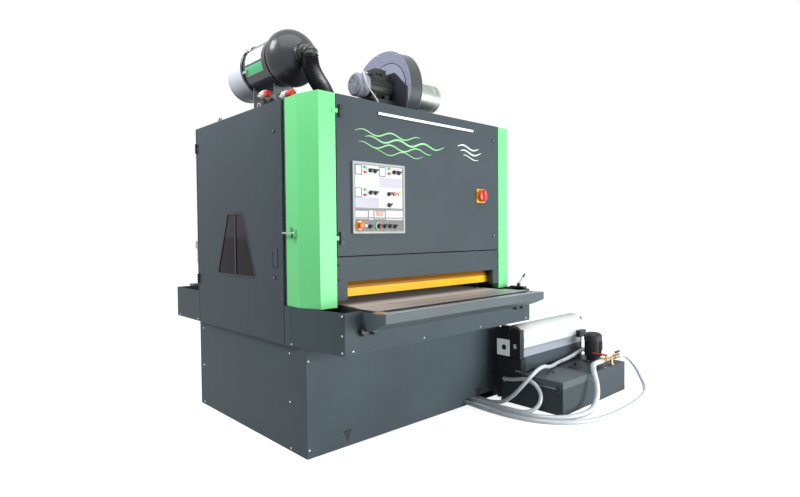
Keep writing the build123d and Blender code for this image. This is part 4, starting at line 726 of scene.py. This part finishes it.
# Interlock: steel rod, hasp plate and ring on the pillar
LOCK_LOW, LOCK_HIGH = corners("interlock")
turned("interlock_rod", [(LOCK_LOW.x + 7, FRONT + 76, 1345)], Y,
       [(0, 0), (4, 0), (6, 2), (6, 126), (5, 129), (0, 129)], "bare_steel", 16, replaces="interlock")
boxes("interlock_hasp", [((LOCK_LOW.x + 9, FRONT + 74, 1322), (LOCK_HIGH.x, FRONT + 116, 1368))],
      "green_paint", bevel=3)
bm = bmesh.new()
ring = [(11.5, 0), (12.4, -1.6), (14, -2.2), (15.6, -1.6), (16.5, 0), (15.6, 1.6), (14, 2.2), (12.4, 1.6)]
lathe(bm, (LOCK_LOW.x + 4, FRONT + 95, 1362), X, ring, 24, closed=True)
block(bm, (LOCK_LOW.x + 1, FRONT + 91, 1312), (LOCK_LOW.x + 9, FRONT + 99, 1334))
piece("interlock_ring", bm, "black_plastic", bevel=0.6)

# Main switch: pointer and rotor, which turn, on a plate with four screws
SWITCH_LOW, SWITCH_HIGH = corners("main_switch_handle")
SWITCH = (SWITCH_LOW + SWITCH_HIGH) / 2
pointer = (SWITCH.x - 2, SWITCH_LOW.y - 4.6, SWITCH.z + 6), (SWITCH.x + 2, SWITCH_LOW.y - 2, SWITCH.z + 28)
boxes("switch_pointer", [pointer], "white_plastic", "main_switch", bevel=0.5)
bm = bmesh.new()
lathe(bm, (SWITCH.x, SWITCH_HIGH.y, SWITCH.z), -Y,
      [(34, 0), (36, 8), (43, 10), (46, 14), (45, 20), (38, 24), (20, 25), (0, 25)], 40)
block(bm, (SWITCH.x - 10, SWITCH_LOW.y - 4, SWITCH.z - 40),
      (SWITCH.x + 10, SWITCH_HIGH.y - 10, SWITCH.z + 40))
piece("switch_rotor", bm, "red_plastic", "main_switch", replaces="main_switch_handle", bevel=2)
turned("switch_screws", [(SWITCH.x + x, FACE - 6, SWITCH.z + z) for x in (-40, 40) for z in (-43, 43)],
       -Y, [(3.6, 0), (3.6, 1.2), (2.4, 1.8), (0, 1.8)], "bare_steel", 10, body="front_door")


# Suction hose: rings along a smooth line from the dome to the roof collar
def nurbs(name, route):
    """Smooth curve with a route's points, in millimetres, as its control points."""
    data = bpy.data.curves.new(name, "CURVE")
    data.dimensions = "3D"
    spline = data.splines.new("NURBS")
    spline.points.add(len(route) - 1)
    for point, place in zip(spline.points, route):
        point.co = (*(Vector(place) * MM), 1)
    spline.order_u = 3
    spline.use_endpoint_u = True
    return data


def curve_points(route):
    """Points along the smooth line of a route, in millimetres."""
    data = nurbs("route", route)
    data.resolution_u = 24
    obj = bpy.data.objects.new("route", data)
    bpy.context.collection.objects.link(obj)
    bpy.context.view_layer.update()
    mesh = bpy.data.meshes.new_from_object(obj)
    points = [v.co / MM for v in mesh.vertices]
    bpy.data.objects.remove(obj)
    bpy.data.meshes.remove(mesh)
    return points


def resample(points, step):
    """Evenly spaced points and directions along a line."""
    placed, done = [], 0.0
    for here, there in zip(points, points[1:]):
        length = (there - here).length
        while done <= length and length > 0:
            placed.append((here.lerp(there, done / length), (there - here).normalized()))
            done += step
        done -= length
    return placed


FILTER_X = -700.5
FILTER_Z = 2521
HOSE_START_Y = FRONT + 356
HOSE_FOOT = Vector((SIDE + 293, FRONT + 140, 2189))
SUCTION_ROUTE = (
    (FILTER_X, HOSE_START_Y, FILTER_Z), (FILTER_X, FRONT + 340, FILTER_Z), (-700, FRONT + 276, 2516),
    (-699, FRONT + 278, 2448), (-694, FRONT + 264, 2396), (-685, FRONT + 226, 2330),
    (-672, FRONT + 176, 2262), HOSE_FOOT,
)
RIB_PITCH = 16.0
RIB_STEPS = 4
HOSE_OUTER = 57.5
RIB_DEPTH = 10.0


def corrugated_hose():
    """Ribbed tube swept along the suction route."""
    sections = []
    across = X.copy()
    for k, (centre, along) in enumerate(resample(curve_points(SUCTION_ROUTE), RIB_PITCH / RIB_STEPS)):
        across = (across - along * across.dot(along)).normalized()
        beside = along.cross(across)
        radius = HOSE_OUTER - RIB_DEPTH * (0.5 - 0.5 * cos(2 * pi * k / RIB_STEPS))
        sections.append([centre + radius * (across * cos(a) + beside * sin(a)) for a in turns(32)])
    lofted("suction_hose_ribbed", [sections], "rubber_black", replaces="suction_hose", smooth=60)


BAND_SECTION = ((0, -6), (1.6, -6), (2.2, -4.8), (1.6, -4), (1.6, 4), (2.2, 4.8), (1.6, 6), (0, 6))


def band(name, centre, axis, radius, look="bare_steel"):
    """Hose clamp: a band with rolled edges and a worm screw housing."""
    bm = bmesh.new()
    lathe(bm, centre, axis, [(radius + lift, height) for lift, height in BAND_SECTION], 28, closed=True)
    axis = axis.normalized()
    across = axis.orthogonal().normalized()
    beside = axis.cross(across)
    lathe(bm, Vector(centre) + across * (radius + 4) - beside * 9, beside,
          [(4, 0), (4, 16), (3, 16), (3, 19), (0, 19)], 10)
    piece(name, bm, look, slot="bare_steel")


corrugated_hose()
band("suction_clamp_top", (FILTER_X, HOSE_START_Y - 22, FILTER_Z), Y, 57, "black_plastic")
band("suction_clamp_foot", HOSE_FOOT + Z * 12, Z, 55)

# Filter: dome, drum between two flanges, can, stand, latches, plate and band of colour
ROOF_TOP = corners("filter_stand")[0].z
FILTER_AXIS = Vector((FILTER_X, FRONT, FILTER_Z))
DRUM_RADIUS = 168
DRUM_RIM = 175
DOME_RADIUS, DOME_RIM, DOME_DEPTH = 188, 490, 140
CAN_DROP = 25
SADDLE = 6
DOME_TIP = DOME_RIM - DOME_DEPTH
profile = [(0, DOME_TIP), (60, DOME_TIP), (64, DOME_TIP + 3), (66, DOME_TIP + 9)]
for a in (radians(t) for t in range(24, 91, 6)):
    profile.append((DOME_RADIUS * sin(a), DOME_RIM - DOME_DEPTH * cos(a)))
profile += [(DOME_RADIUS, 508), (DOME_RADIUS - 3, 516), (DOME_RADIUS - 12, 520), (DOME_RADIUS - 18, 532),
            (0, 532)]
turned("dome_shell", [FILTER_AXIS], Y, profile, "gloss_black", 80, replaces="filter_dome", smooth=30)
profile = [(0, 528), (DRUM_RADIUS, 528), (DRUM_RADIUS, 548), (DRUM_RIM, 549), (DRUM_RIM + 1, 555),
           (DRUM_RIM, 561), (DRUM_RADIUS, 562), (DRUM_RADIUS, 872), (DRUM_RIM, 872), (DRUM_RIM + 2, 875),
           (DRUM_RIM + 2, 892), (DRUM_RIM, 895), (0, 895)]
turned("drum_shell", [FILTER_AXIS], Y, profile, "drum_paint", 80, replaces="filter_drum", smooth=25)
profile = [(0, 893), (150, 893), (155, 897), (155, 1108), (158, 1111), (159, 1118), (157, 1126), (150, 1129),
           (144, 1126), (142, 1116), (60, 1112), (0, 1112)]
turned("can_shell", [FILTER_AXIS - Z * CAN_DROP], Y, profile, "can_paint", 72,
       replaces="filter_can", smooth=28)
bm = bmesh.new()
for y, half in ((600, 75), (850, 95)):
    radius = DRUM_RADIUS + 1
    reach = degrees(acos(half / radius))
    angles = [radians(-reach - (180 - 2 * reach) * k / 16) for k in range(17)]
    shape = [(-half, ROOF_TOP - FILTER_Z), (half, ROOF_TOP - FILTER_Z)]
    shape += [(radius * cos(a), radius * sin(a)) for a in angles]
    prism(bm, shape, FILTER_AXIS + Y * (y + SADDLE), X, Z, SADDLE)
    block(bm, (FILTER_X - half, FRONT + y, ROOF_TOP), (FILTER_X + half, FRONT + y + 44, ROOF_TOP + SADDLE))
piece("saddle_plates", bm, "light_panel", replaces="filter_stand", bevel=0.8)
bolts("saddle_screws", [(FILTER_X + x, FRONT + y + 26, ROOF_TOP + SADDLE) for x in (-50, 50)
                        for y in (600, 850)], Z, 8)


def drum_patch(name, thickness, start, end, look):
    """Curved plate on the drum between two angles in degrees."""
    sections = []
    for k in range(13):
        a = radians(start + (end - start) * k / 12)
        out = Vector((cos(a), 0, sin(a)))
        sections.append([FILTER_AXIS + Y * y + out * (DRUM_RADIUS + lift)
                         for y, lift in ((606, 0), (832, 0), (832, thickness), (606, thickness))])
    lofted(name, [sections], look, smooth=30)


drum_patch("drum_plate", 1.2, 148, 182, "side_plate")
drum_patch("drum_colour_band", 1.0, 186, 208, "green_plastic")
bm = bmesh.new()
for a in (radians(-15 + 52.5 * k) for k in range(5)):
    out = Vector((cos(a), 0, sin(a)))
    side_way = out.cross(Y)
    foot = FILTER_AXIS + out * (DRUM_RADIUS - 1)
    prism(bm, ((-17, 792), (17, 792), (15, 862), (-15, 862)), foot, side_way, Y, 3.5)
    prism(bm, ((-10, 806), (10, 806), (8, 884), (-8, 884)), foot + out * 8, side_way, Y, 3)
    for edge in (-12, 9):
        prism(bm, ((edge, 806), (edge + 3, 806), (edge + 3, 836), (edge, 836)), foot, side_way, Y, 9)
    lathe(bm, foot + out * 12 + Y * 812 - side_way * 14, side_way, ((0, 0), (4, 0), (4, 28), (0, 28)), 12)
piece("latch_plates", bm, "bare_steel", slot="bare_steel", bevel=0.6)
turned("hose_cuff", [FILTER_AXIS], Y, [(56, 336), (64, 336), (66, 340), (66, 352), (56, 352)],
       "black_plastic", 40, True, bevel=0.5)
bolts("dome_rim_screws", [FILTER_AXIS + Vector((175 * cos(a), 520.2, 175 * sin(a))) for a in turns(16, 0.5)],
      Y, 3.5)

# Air units on the roof and behind the cabinet: turned bodies, knobs and bowls
AIR_BODY = ((0, 0), (22, 0), (28, 3), (30, 8), (30, 16), (27.5, 17), (27.5, 21), (30, 22), (30, 48),
            (27, 55), (20, 57), (20, 84), (0, 84))
AIR_HALF = 19
AIR_UNITS = (("rear", SIDE + 100, FRONT + 590, 112, "cream_plastic", "air_units"),
             ("front", SIDE + 122, FRONT + 350, 66, "white_plastic", None))
for tag, x, y, rise, look, node in AIR_UNITS:
    height = ROOF_TOP + rise
    turned(f"air_body_{tag}", [(x, y - 26, height)], Y, AIR_BODY, look, 36, slot="white_plastic",
           replaces=node)
    bm = bmesh.new()
    lathe(bm, (x, y + 8, ROOF_TOP), Z, [(0, 0), (16, 0), (16, 4), (9, 6), (9, rise), (0, rise)], 20)
    block(bm, (x - AIR_HALF, y + 30, height - AIR_HALF), (x + AIR_HALF, y + 66, height + AIR_HALF))
    piece(f"air_post_{tag}", bm, "black_plastic", bevel=1.5)
    if tag == "rear":
        knob = (x - AIR_HALF, y - 58, height - AIR_HALF), (x + AIR_HALF, y - 26, height + AIR_HALF)
        boxes("air_knob_rear", [knob], "red_plastic", bevel=4)
    else:
        turned("air_knob_front", [(x, y - 84, height)], Y,
               [(0, 0), (21, 0), (26, 4), (26, 26), (23, 28), (23, 34), (26, 36), (26, 54), (22, 58),
                (0, 58)], "red_plastic", 32, bevel=1)
wall = corners("air_units")[1].y - 68
boxes("air_service_head", [((SIDE + 8, wall, 1230), (SIDE + 72, wall + 68, 1290))], "grey_plastic", bevel=5)
turned("air_service_bowl", [(SIDE + 40, wall + 35, 1100)], Z,
       [(0, 0), (8, 0), (8, 6), (20, 9), (28, 18), (30, 30), (30, 118), (33, 120), (33, 130), (0, 130)],
       "white_plastic", 32)

# Fan: scroll with cheeks and face, cowl grille, beads on the spigot, screws
FAN_Y = FRONT + 530
FAN_Z = 2460
AXIS_Z = 2474
FAN_FACE, FAN_BACK = 200, 330
RIM = 203
OUTLET_NEAR, OUTLET_FAR, OUTLET_FOOT = 145, 375, -309
VOLUTE = ((20, 395), (35, 384), (47, 362), (64, 330), (79, 311), (93, 297), (107, 288), (121, 279),
          (134, 270), (146, 262), (165, 255), (180, 255), (225, 259), (270, 262), (290, 262))


def volute_radius(angle):
    """Radius of the scroll at an angle in degrees from +Y towards +Z."""
    for (a, r), (b, q) in zip(VOLUTE, VOLUTE[1:]):
        if a <= angle <= b:
            return r + (q - r) * (angle - a) / (b - a)
    return VOLUTE[-1][1]


def on_volute(angle, lip):
    """Point of the scroll's curve, moved outwards by a lip."""
    radius = volute_radius(angle) + lip
    return radius * cos(radians(angle)), radius * sin(radians(angle))


def volute(lip=0):
    """Outline of the scroll with its square outlet to the roof, grown by a lip."""
    outlet = [(OUTLET_NEAR - lip, OUTLET_FOOT), (OUTLET_FAR + lip, OUTLET_FOOT), (OUTLET_FAR + lip, 100)]
    return outlet + [on_volute(angle, lip) for angle in range(20, 291, 5)] + [(OUTLET_NEAR - lip, -218)]


bm = bmesh.new()
prism(bm, volute(), (FAN_FACE + 2, FAN_Y, AXIS_Z), Y, Z, FAN_BACK - FAN_FACE - 4)
piece("scroll_body", bm, "scroll_body", replaces="fan_scroll", smooth=20)
bm = bmesh.new()
for x in (FAN_FACE, FAN_BACK - 3):
    prism(bm, volute(4), (x, FAN_Y, AXIS_Z), Y, Z, 3)
piece("scroll_cheeks", bm, "scroll_paint", smooth=20, bevel=0.6)
SCROLL = (FAN_FACE, FAN_Y, AXIS_Z)
turned("scroll_face", [SCROLL], -X, [(0, 0), (RIM, 0), (RIM, 2), (RIM - 3, 3), (0, 3)], "scroll_paint", 72,
       smooth=30)
turned("scroll_face_ring", [SCROLL], -X, [(RIM, 0), (RIM + 5, 0), (RIM + 5, 3), (RIM + 3, 4.5), (RIM, 4.5)],
       "black_paint", 72, True, smooth=30)
COWL_X = corners("fan_motor")[0].x
bm = bmesh.new()
for radius in (18, 30, 42, 54):
    lathe(bm, (COWL_X + 1, FAN_Y, FAN_Z), X,
          [(radius, 0), (radius + 3, 0), (radius + 3, 4), (radius, 4)], 40, closed=True)
for a in turns(8):
    spoke = Vector((0, cos(a), sin(a)))
    prism(bm, ((16, -2), (64, -2), (64, 2), (16, 2)), (COWL_X + 4, FAN_Y, FAN_Z), spoke,
          spoke.cross(X), 3)
piece("cowl_grille", bm, "grey_plastic", bevel=0.5)
turned("cowl_hub", [(COWL_X + 5, FAN_Y, FAN_Z)], X, [(0, 0), (10, 0), (14, 3), (14, 6), (0, 6)],
       "grey_plastic")
bolts("scroll_ring_screws", [
    (FAN_FACE - 3, FAN_Y + 188 * cos(a), AXIS_Z + 188 * sin(a)) for a in turns(12, 0.5)], -X, 4.5)
places = [on_volute(angle, -12) for angle in range(24, 290, 22)]
bolts("scroll_rim_screws", [(FAN_FACE, FAN_Y + y, AXIS_Z + z) for y, z in places], -X, 5)
SPIGOT_LOW, SPIGOT_HIGH = corners("fan_spigot")
turned("spigot_beads", [(x, FAN_Y, AXIS_Z) for x in (SPIGOT_LOW.x + 6, 625, SPIGOT_HIGH.x - 5)], X,
       [(111.5, -4), (113.4, -3), (114.6, 0), (113.4, 3), (111.5, 4)], "galvanized", 56, True,
       slot="galvanized", smooth=60)
bolts("motor_box_screws", [(x, FAN_Y + y, 2602) for x in (34, 128) for y in (-40, 40)], Z, 4)
turned("box_glands", [(x, FAN_Y - 48, 2562) for x in (48, 84)], -Y,
       [(11, 0), (11, 8), (9, 8), (9, 15), (6, 20), (4, 20), (0, 20)], "black_plastic", 6, smooth=25)

# Coolant unit: nuts and sleeves of the valves, feet, a light strip under the lid's edge as painted highlight,
# latch, switch, cap, plates (the side plate with a painted glow), screws, grille
TANK_LOW, TANK_HIGH = corners("coolant_tank")
TANK_LEFT = TANK_LOW.x
TROUGH_LOW, TROUGH_HIGH = corners("filter_trough")
MANIFOLD_Y = FRONT - 622
MANIFOLD_Z = 290
VALVES_X = (1532, 1700)
turned("valve_nuts", [(x + start, MANIFOLD_Y, MANIFOLD_Z) for x in VALVES_X for start in (-27, 15)], X,
       [(0, 0), (20.5, 0), (22.5, 2), (22.5, 10), (20.5, 12), (0, 12)], "brass", 6,
       slot="brass", smooth=20, bevel=0.8)
turned("lever_nuts", [(x, MANIFOLD_Y, MANIFOLD_Z + 35) for x in VALVES_X], Z,
       [(0, 0), (8, 0), (8, 5), (5, 6), (5, 9), (0, 9)], "bare_steel", 6, smooth=20)
boxes("lever_sleeve_right", [((1692, MANIFOLD_Y - 10, 319), (1766, MANIFOLD_Y + 10, 332))],
      "black_plastic", bevel=4)
boxes("lever_sleeve_left", [((1522, MANIFOLD_Y - 11, 319), (1542, MANIFOLD_Y + 118, 332))],
      "red_plastic", replaces="valve_levers", bevel=4)
FEET_Y = ((TANK_LOW.y - 1.5, TANK_LOW.y + 30), (TANK_HIGH.y - 30, TANK_HIGH.y + 1.5))
boxes("tank_feet", [((x - 22.5, y0, 0.5), (x + 22.5, y1, 42)) for x in (TANK_LEFT + 22, TANK_HIGH.x - 22)
                    for y0, y1 in FEET_Y], "black_plastic", bevel=3)
# Thin steel strip along the bottom of the lid's lip: a painted highlight
boxes("lid_edge_highlight_strip", [((TANK_LEFT - 5, TANK_LOW.y + 20, 189), (TANK_LEFT - 1, FRONT - 330, 196))],
      "dark_steel", bevel=0.8)
bm = bmesh.new()
block(bm, (TANK_LEFT - 9, TANK_LOW.y + 14, 160), (TANK_LEFT, TANK_LOW.y + 52, 214))
lathe(bm, (TANK_LEFT - 8, TANK_LOW.y + 33, 168), -X, [(9, 0), (9, 4), (6, 7), (0, 7)], 16)
piece("lid_latch", bm, "deep_grey", bevel=2)
boxes("cover_rocker", [((775, FRONT - 272, 440), (780, FRONT - 248, 474)),
                       ((772, FRONT - 268, 446), (775, FRONT - 252, 458))], "panel_white", bevel=1.2)
turned("bearing_cap", [(780, FRONT - 160, 437)], -X,
       [(21, 0), (21, 3), (17, 5), (8, 5), (8, 8), (0, 8)], "black_plastic", 28)
# White side plate of the coolant unit, in the glowing white: its glow is painted light
boxes("unit_side_plate", [((TANK_LEFT - 27, FRONT - 212, 372), (TANK_LEFT - 24, FRONT - 92, 500))],
      "lamp_and_painted_glow", bevel=1)
boxes("unit_rear_channel", [
    ((TANK_LEFT - 26, FRONT - 212, 500), (TANK_LEFT - 20, FRONT - 90, 592)),
    ((TANK_LEFT - 24, FRONT - 212, 200), (TANK_LEFT - 20, FRONT - 90, 500)),
    ((TANK_LEFT - 22, TANK_HIGH.y, 30), (TANK_HIGH.x - 20, TANK_HIGH.y + 22, TANK_HIGH.z - 6))],
      "black_paint", bevel=3)
rail_end = (TROUGH_HIGH.x - 2, TROUGH_LOW.y, TROUGH_HIGH.z - 4)
boxes("trough_rail", [((TROUGH_LOW.x + 2, TROUGH_LOW.y - out, TROUGH_HIGH.z - drop), rail_end)
                      for out, drop in ((3, 62), (12, 10))], "rail_paint", bevel=1)
bolts("frame_screws", [(796, FRONT - y, z) for y in (134, 200) for z in (382, 500, 560)], -X)
bolts("drive_box_screws", [(770, FRONT - y, 272) for y in (312, 296, 280)], -X, 5)
bolts("cover_screws", [(780, FRONT - y, z) for y in (300, 222) for z in (376, 572)], -X, 5,
      "black_plastic")
bolts("deck_screws", [(x, FRONT - y, TANK_HIGH.z + 4) for x in (1210, 1480, 1778) for y in (640, 126)],
      Z, 6)
PUMP_X, PUMP_Y, PUMP_TOP = 1625, FRONT - 460, 475
bm = bmesh.new()
for radius in (14, 26, 38, 50):
    lathe(bm, (PUMP_X, PUMP_Y, PUMP_TOP), Z,
          [(radius, -1), (radius + 4, -1), (radius + 4, 1.6), (radius, 1.6)], 36, closed=True)
for a in turns(6):
    spoke = Vector((cos(a), sin(a), 0))
    prism(bm, ((10, -2.5), (56, -2.5), (56, 2.5), (10, 2.5)), (PUMP_X, PUMP_Y, PUMP_TOP), spoke,
          Z.cross(spoke), 2)
piece("pump_grille", bm, "black_plastic", bevel=0.4)
bolts("pump_screws", [(PUMP_X + 76 * cos(a), PUMP_Y + 76 * sin(a), 249) for a in turns(6)], Z, 6)
turned("deck_cover", [(1330, FRONT - 462, 237)], Z,
       [(58, 0), (58, 5), (54, 9), (20, 10), (16, 14), (8, 16), (8, 26), (12, 28), (12, 38), (9, 42),
        (0, 42)], "black_paint", 40, slot="black_paint", smooth=30)

# Sleeve on the rod of the lever at the right skirt
LEVER_FOOT = Vector((-SIDE - 66, FRONT - 220, 929))
LEVER_WAY = Vector((0.8, 0, 0.7)).normalized()
turned("lever_sleeve", [LEVER_FOOT + LEVER_WAY * 10], LEVER_WAY, [(7.3, 0), (7.3, 60), (0, 60)],
       "dark_steel", 20)

# Free hoses and the fan motor's cable: diameter, length and the route of the CAD tube, its y from the front
HOSE_ROUTES = {
    "return_hose": (42, 1738, (
        (1450, -622, 290), (1364, -622, 290), (1268, -646, 300), (1191, -692, 260), (1156, -736, 189),
        (1131, -752, 96), (1056, -762, 33), (933, -770, 21), (780, -736, 21), (664, -648, 21),
        (596, -510, 21), (582, -340, 21), (594, -170, 21), (592, -30, 28), (590, 95, 28),
    )),
    "feed_hose": (34, 2577, (
        (1735, -622, 290), (1806, -622, 290), (1876, -644, 260), (1926, -684, 190), (1919, -738, 104),
        (1868, -796, 39), (1750, -844, 17), (1550, -882, 17), (1310, -906, 17), (1070, -906, 17),
        (850, -872, 17), (672, -770, 17), (556, -606, 17), (508, -406, 17), (504, -200, 17),
        (508, -40, 23), (510, 95, 28),
    )),
    "spray_hose": (30, 1583, (
        (1690, -346, 310), (1628, -346, 310), (1544, -340, 290), (1410, -332, 268), (1270, -340, 265),
        (1110, -386, 272), (990, -420, 288), (905, -438, 314), (816, -436, 302), (744, -416, 250),
        (705, -366, 173), (692, -296, 94), (682, -216, 34), (675, -110, 16), (671, -16, 22),
        (669, 80, 26),
    )),
    "drain_hose": (30, 1139, (
        (783, -152, 190), (783, -216, 190), (779, -290, 210), (774, -366, 226), (771, -444, 210),
        (770, -500, 145), (736, -512, 77), (687, -482, 29), (647, -422, 15), (640, -310, 15),
        (634, -190, 15), (631, -76, 18), (629, 30, 26), (628, 120, 26),
    )),
    "fan_cable": (11, 588, (
        (14, 530, 2568), (-24, 530, 2568), (-68, 516, 2566), (-104, 474, 2556), (-122, 432, 2516),
        (-116, 418, 2462), (-86, 418, 2412), (-46, 414, 2372), (-10, 408, 2330), (16, 404, 2280),
        (28, 402, 2226), (28, 402, 2171),
    )),
}
for hose_name, (diameter, length, points) in HOSE_ROUTES.items():
    route = [Vector((x, FRONT + y, z)) for x, y, z in points]
    data = nurbs(f"{hose_name}_curve", route)
    data.bevel_depth = diameter / 2 * MM
    data.bevel_resolution = 5
    data.resolution_u = 10
    data.use_fill_caps = True
    cable = hose_name == "fan_cable"
    hose = link(f"{hose_name}_curve", data, "cable_grey" if cable else "hose_clear", replaces=hose_name)
    if not cable:
        heading = (route[1] - route[0]).normalized()
        band(f"{hose_name}_clamp", route[0] + heading * 16, heading, diameter / 2 + 0.2)

# Tapered glands where the cable leaves the box and enters the roof
GLAND = ((5.7, 0), (9, 0), (9, 5), (7.6, 8), (6.2, 26), (5.7, 26))
turned("cable_relief_box", [(14, FRONT + 530, 2568)], -X, GLAND, "black_plastic", 20, True)
turned("cable_relief_roof", [(28, FRONT + 402, 2171)], Z, GLAND, "black_plastic", 20, True)

# Rounded edges on the CAD nodes that show large folded or machined edges, in millimetres
SOFTENED = {
    1.0: ("corner_pillars", "bed_skirt", "base_panels", "slot_panel", "roof", "rear_wall"),
    1.2: ("coolant_tank", "table_aprons", "filter_trough", "fan_stand"),
    1.5: ("front_door", "side_door", "right_cover", "control_panel", "trough_frames"),
    2.0: ("unit_covers",),
}
WELD_DISTANCE = 0.00005
for width, names in SOFTENED.items():
    for node_object in (frame["nodes"][name] for name in names):
        node_object.modifiers.new("weld", "WELD").merge_threshold = WELD_DISTANCE
        round_edges(node_object, width, 35)
